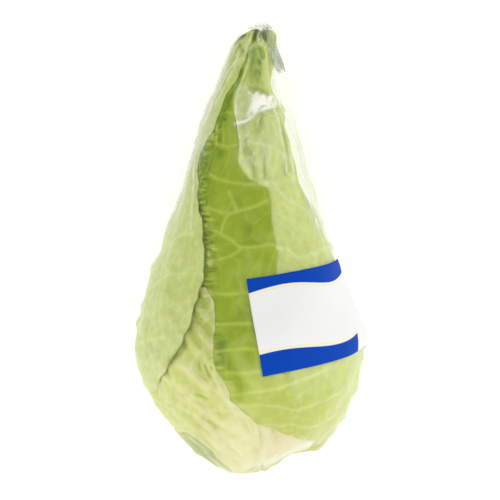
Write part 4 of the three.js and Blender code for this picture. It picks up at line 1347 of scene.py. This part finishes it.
def filmMaterial():
    material, board = newMaterial("clearFilm")
    place = board.place()
    creases = board.noise(board.stretched(place, (1.0, 0.28, 1.0)), 210.0, 4.0, 0.62)
    soft = board.noise(place, 48.0, 2.0)
    tiny = board.noise(board.stretched(place, (1.0, 0.5, 1.0)), 620.0, 2.0)
    relief = board.bump(creases * 0.75 + soft * 1.1 + tiny * 0.12, 0.3, 0.0012)
    facing = board.node("ShaderNodeLayerWeight", None, {"Blend": 0.5, "Normal": relief}, "Facing")
    gloss = board.clamped((0.012 + 0.5 * facing ** 4.5) * board.mark("skin"))
    clear = board.node("ShaderNodeBsdfTransparent", None, {"Color": (0.99, 0.995, 0.985, 1.0)})
    shine = board.node("ShaderNodeBsdfGlossy", None,
                       {"Color": (1.0, 1.0, 1.0, 1.0), "Roughness": 0.13, "Normal": relief})
    # grey on the gathered tail: painted shade
    colour = board.blend(board.mark("dusk"), tint(*film["white"]), tint(*film["grey"]))
    haze = board.clamped(board.mark("haze") * (0.6 + 0.8 * creases))
    sheet = board.mixed(gloss, clear, shine)
    finishMaterial(board, board.mixed(haze, sheet, board.surface(colour, 0.34, relief, 0.4)))
    return material


def labelMaterial():
    material, board = newMaterial("printedPaper")
    flat = board.node("ShaderNodeUVMap", {"uv_map": "UVMap"})
    parts = board.node("ShaderNodeSeparateXYZ", None, {0: flat}).socket.node.outputs
    across, up = Wire(board, parts[0]), Wire(board, parts[1])
    end, soft = label["panel"], 0.002
    panel = 1 - board.span(across - up * label["panelSlant"], end - soft, end + soft)
    # the two blue bands reach from the label's edges to these waved lines
    lowLine = 0.195 + board.maths("COSINE", across * 9.4 - 0.86) * 0.036
    highLine = 0.848 + board.maths("SINE", across * 10.3) * 0.042
    blueLow = (1 - board.span(up - lowLine, -0.004, 0.004)) * panel
    blueHigh = board.span(up - highLine, -0.004, 0.004) * panel
    lineNear, lineFar = (board.span(inward, 0.01, 0.018) - board.span(inward, 0.028, 0.036)
                         for inward in (up - lowLine, highLine - up))
    fibre = board.noise(board.place(), 1500.0, 3.0)
    colour = board.blend(fibre * 0.25, *(tint(*shade) for shade in label["paper"]))
    colour = board.blend((lineNear + lineFar) * panel, colour, tint(*label["cream"]))
    colour = board.blend(board.maths("MAXIMUM", blueLow, blueHigh), colour, tint(*label["blue"]))
    relief = board.bump(fibre, 0.12, 0.0002)
    finishMaterial(board, board.surface(colour, 0.46 + 0.1 * fibre, relief, 0.08))
    return material


def labelTree():
    board, given = newGeometryTree("layOnFilm", [
        ("Geometry", "Geometry"), ("Film", "Object"), ("Lift", "Float"), ("Material", "Material")])
    target = board.node("GeometryNodeObjectInfo", None, {"Object": given["Film"]}, "Geometry")
    inward = board.node("GeometryNodeInputNamedAttribute", {"data_type": "FLOAT_VECTOR"},
                        {"Name": "inward"}, "Attribute")
    distance = board.node("GeometryNodeRaycast", None, {
        "Target Geometry": target, "Ray Direction": inward, "Ray Length": label["castReach"] * millimetre,
    }, "Hit Distance")
    soft = board.node("GeometryNodeBlurAttribute", {"data_type": "FLOAT"}, {"Iterations": 4, 0: distance})
    step = board.node("ShaderNodeVectorMath", {"operation": "SCALE"},
                      {0: inward, "Scale": soft - given["Lift"]})
    laid = board.node("GeometryNodeSetPosition", None, {"Geometry": given["Geometry"], "Offset": step})
    return finishGeometryTree(board, laid, given["Material"])


def labelPiece(material):
    rows, columns = label["grid"]
    up = np.linspace(0, 1, rows + 1)[:, None]
    across = np.linspace(0, 1, columns + 1)[None, :]
    share, angle = labelPlace(across, up)
    high, low = (headPoint(share, angle, label[lift]) for lift in ("castFrom", "castTo"))
    inward = (low - high) / np.linalg.norm(low - high, axis=-1, keepdims=True)
    uv = np.stack([x.ravel() for x in np.broadcast_arrays(across, up)], axis=-1)
    piece = meshPiece("labelSheet", high.reshape(-1, 3), gridQuads(rows, columns), uv=uv)
    layer = piece.data.attributes.new("inward", "FLOAT_VECTOR", "POINT")
    layer.data.foreach_set("vector", inward.astype(np.float32).ravel())
    lay = piece.modifiers.new("lay", "NODES")
    lay.node_group = labelTree()
    setInputs(lay, {"Film": pieces["film"], "Lift": label["lift"] * millimetre, "Material": material})
    applyModifiers(piece)
    wall = piece.modifiers.new("wall", "SOLIDIFY")
    wall.thickness = label["wall"] * millimetre
    wall.offset = 1
    applyModifiers(piece)
    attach(piece, "root")
    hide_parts("label")
    return piece


for node, look in leafLooks.items():
    pieces[node].data.materials.append(leafMaterial(pieces[node].name, look))
pieces["film"].data.materials.append(filmMaterial())
pieces["label"] = labelPiece(labelMaterial())
print("label laid on the film")

stem = {
    "radius": 10.0,
    "start": 3.6,  # where its cut face lies along the axis
    "end": 30.0,
    "sides": 72,
    "bundles": 26,  # vessel ends in the cut face
    "bundleRing": 6.6,
    "bundleSize": 0.62,
    "pale": (240, 231, 192),
    "deep": (224, 211, 164),
    "fibre": (208, 190, 138),
}


def stemMaterial():
    material, board = newMaterial("cutStem")
    place = board.place()
    fibre = board.noise(board.stretched(place, (1.0, 0.25, 1.0)), 500.0, 4.0)
    blotch = board.noise(place, 120.0, 3.0)
    colour = board.blend(blotch, tint(*stem["pale"]), tint(*stem["deep"]))
    colour = board.blend(board.span(fibre, 0.55, 0.75), colour, tint(*stem["fibre"]))
    relief = board.bump(fibre + blotch * 0.5, 0.5, 0.0008)
    finishMaterial(board, board.surface(colour, 0.5 + 0.2 * blotch, relief))
    return material


def bundleTree():
    board, given = newGeometryTree("ringOfBundles", [
        ("Geometry", "Geometry"), ("Count", "Int"), ("Ring", "Float"), ("Size", "Float"),
        ("Middle", "Vector"), ("Turn", "Vector"), ("Material", "Material")])
    ring = board.node("GeometryNodeMeshCircle", None, {"Vertices": given["Count"], "Radius": given["Ring"]})
    shift = board.node("FunctionNodeRandomValue", {"data_type": "FLOAT_VECTOR"}, {
        "Min": (-0.0005, -0.0005, -0.00005), "Max": (0.0005, 0.0005, 0.00005), "Seed": 4})
    loose = board.node("GeometryNodeSetPosition", None, {"Geometry": ring, "Offset": shift})
    bead = board.node("GeometryNodeMeshIcoSphere", None, {"Radius": given["Size"], "Subdivisions": 2})
    sizes = board.node("FunctionNodeRandomValue", {"data_type": "FLOAT_VECTOR"}, {
        "Min": (0.7, 0.7, 0.3), "Max": (1.3, 1.3, 0.45), "Seed": 9})
    copies = board.node("GeometryNodeInstanceOnPoints", None, {
        "Points": loose, "Instance": bead, "Scale": sizes})
    put = board.node("GeometryNodeTransform", None, {
        "Geometry": copies, "Translation": given["Middle"], "Rotation": given["Turn"]})
    both = board.node("GeometryNodeJoinGeometry", None, {"Geometry": given["Geometry"]})
    board.feed(both.socket.node.inputs["Geometry"], put)
    return finishGeometryTree(board, both, given["Material"])


def stemPiece(material):
    length = stem["end"] - stem["start"]
    r = stem["radius"]
    profile = splineThrough([
        (0.4, 0.5), (3, 0.45), (5.4, 0.15), (7.4, 0.3), (r - 1.2, 0), (r - 0.3, 0.5), (r, 1.8),
        (r - 0.6, length * 0.4), (r - 1.6, length * 0.8), (r - 2.6, length), (0.4, length),
    ], 4)
    turn = np.arange(stem["sides"]) * 2 * math.pi / stem["sides"]
    radius = profile[:, :1] * (1 + 0.02 * np.sin(5 * turn) + 0.012 * np.sin(11 * turn + 1))
    middle = sidewaysLine(stem["start"])
    along = stem["start"] + profile[:, 1:] + 0 * turn
    body = np.stack([middle + radius * np.sin(turn), along, radius * np.cos(turn)], axis=-1)
    points = (laidDown(body) + headShift).reshape(-1, 3)
    piece = meshPiece("cutStem", points, ringQuads(len(profile) - 1, stem["sides"]))
    bm = bmesh.new()
    bm.from_mesh(piece.data)
    bmesh.ops.holes_fill(bm, edges=[e for e in bm.edges if e.is_boundary], sides=0)
    bmesh.ops.recalc_face_normals(bm, faces=bm.faces)
    bm.to_mesh(piece.data)
    bm.free()
    face = laidDown(np.array([middle, stem["start"] + 0.1, 0.0])) + headShift
    bundles = piece.modifiers.new("bundles", "NODES")
    bundles.node_group = bundleTree()
    setInputs(bundles, {
        "Count": stem["bundles"],
        "Ring": stem["bundleRing"] * millimetre,
        "Size": stem["bundleSize"] * millimetre,
        "Middle": [float(x) * millimetre for x in face],
        "Turn": [math.radians(90) - tilt, 0.0, 0.0],
        "Material": material,
    })
    applyModifiers(piece)
    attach(piece, "root")
    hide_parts("stem")
    return piece


pieces["stem"] = stemPiece(stemMaterial())
print("stem made")

studio = {  # lengths in metres, the lens in mm
    "lens": 110.7,
    "distance": 0.85,
    "aim": (0.0001, 0.0005, 0.044),
    "world": 0.5,  # strength of its light
    "floor": 1.6,  # half its side
    "floorGlow": 0.4,  # round the head; it grows to 1 away from it
    "lamps": [  # name, direction from the head, distance, width, height, watts
        ("leftSoft", (-0.85, 0.0, 0.6), 0.9, 0.6, 0.9, 2.8),
        ("rightSoft", (0.95, 0.05, 0.42), 0.9, 1.0, 0.9, 3.6),
        ("topSoft", (0.1, 0.7, 1.0), 1.1, 0.5, 0.4, 1.4),
        ("baseSoft", (0.0, -1.0, 0.55), 0.9, 0.9, 0.5, 2.4),
    ],
}


def lightTheWorld():
    world = bpy.data.worlds.new("studioWorld")
    bpy.context.scene.world = world
    world.use_nodes = True
    board = Board(world.node_tree)
    plain, white = (board.node("ShaderNodeBackground", None, {"Color": (1, 1, 1, 1), "Strength": strength})
                    for strength in (studio["world"], 1.0))
    board.node("ShaderNodeOutputWorld", None, {"Surface": board.mixed(board.seen(), plain, white)})


def layFloor():
    half = studio["floor"]
    corners = np.array([(-half, -half, 0), (half, -half, 0), (half, half, 0), (-half, half, 0)])
    floor = meshPiece("studioFloor", corners / millimetre, np.array([[0, 1, 2, 3]]))
    material, board = newMaterial("paleFloor")
    grain = board.noise(board.place(), 90.0, 2.0)
    away = board.node("ShaderNodeVectorMath", {"operation": "LENGTH"}, {0: board.place()}, "Value")
    glow = board.grey(board.span(away, 0.25, 0.8, studio["floorGlow"], 1.0))
    paper = board.node("ShaderNodeBsdfPrincipled", None, {
        "Base Color": board.blend(grain, (0.86, 0.86, 0.86, 1), (0.9, 0.9, 0.9, 1)), "Roughness": 0.8,
        "Specular IOR Level": 0.1, "Emission Color": board.blend(board.seen(), (0, 0, 0, 1), glow),
        "Emission Strength": 1.0})
    finishMaterial(board, paper)
    floor.data.materials.append(material)


def hangLamps():
    aim = Vector(studio["aim"])
    for name, direction, distance, width, height, watts in studio["lamps"]:
        lamp = bpy.data.lights.new(name, "AREA")
        lamp.shape = "RECTANGLE"
        lamp.size, lamp.size_y, lamp.energy = width, height, watts
        holder = bpy.data.objects.new(name, lamp)
        away = Vector(direction).normalized()
        holder.location = aim + away * distance
        holder.rotation_euler = away.to_track_quat("Z", "Y").to_euler()
        bpy.context.collection.objects.link(holder)


def setCamera():
    data = bpy.data.cameras.new("studioCamera")
    data.lens = studio["lens"]
    camera = bpy.data.objects.new("studioCamera", data)
    back = Vector((0, math.sin(tilt), math.cos(tilt)))
    camera.location = Vector(studio["aim"]) + back * studio["distance"]
    camera.rotation_euler = (-tilt, 0, 0)
    bpy.context.collection.objects.link(camera)
    bpy.context.scene.camera = camera


lightTheWorld()
layFloor()
hangLamps()
setCamera()
bpy.context.scene.view_settings.view_transform = "Standard"
bpy.context.scene.cycles.transparent_max_bounces = 40  # light passes the folded film many times
print("studio ready")
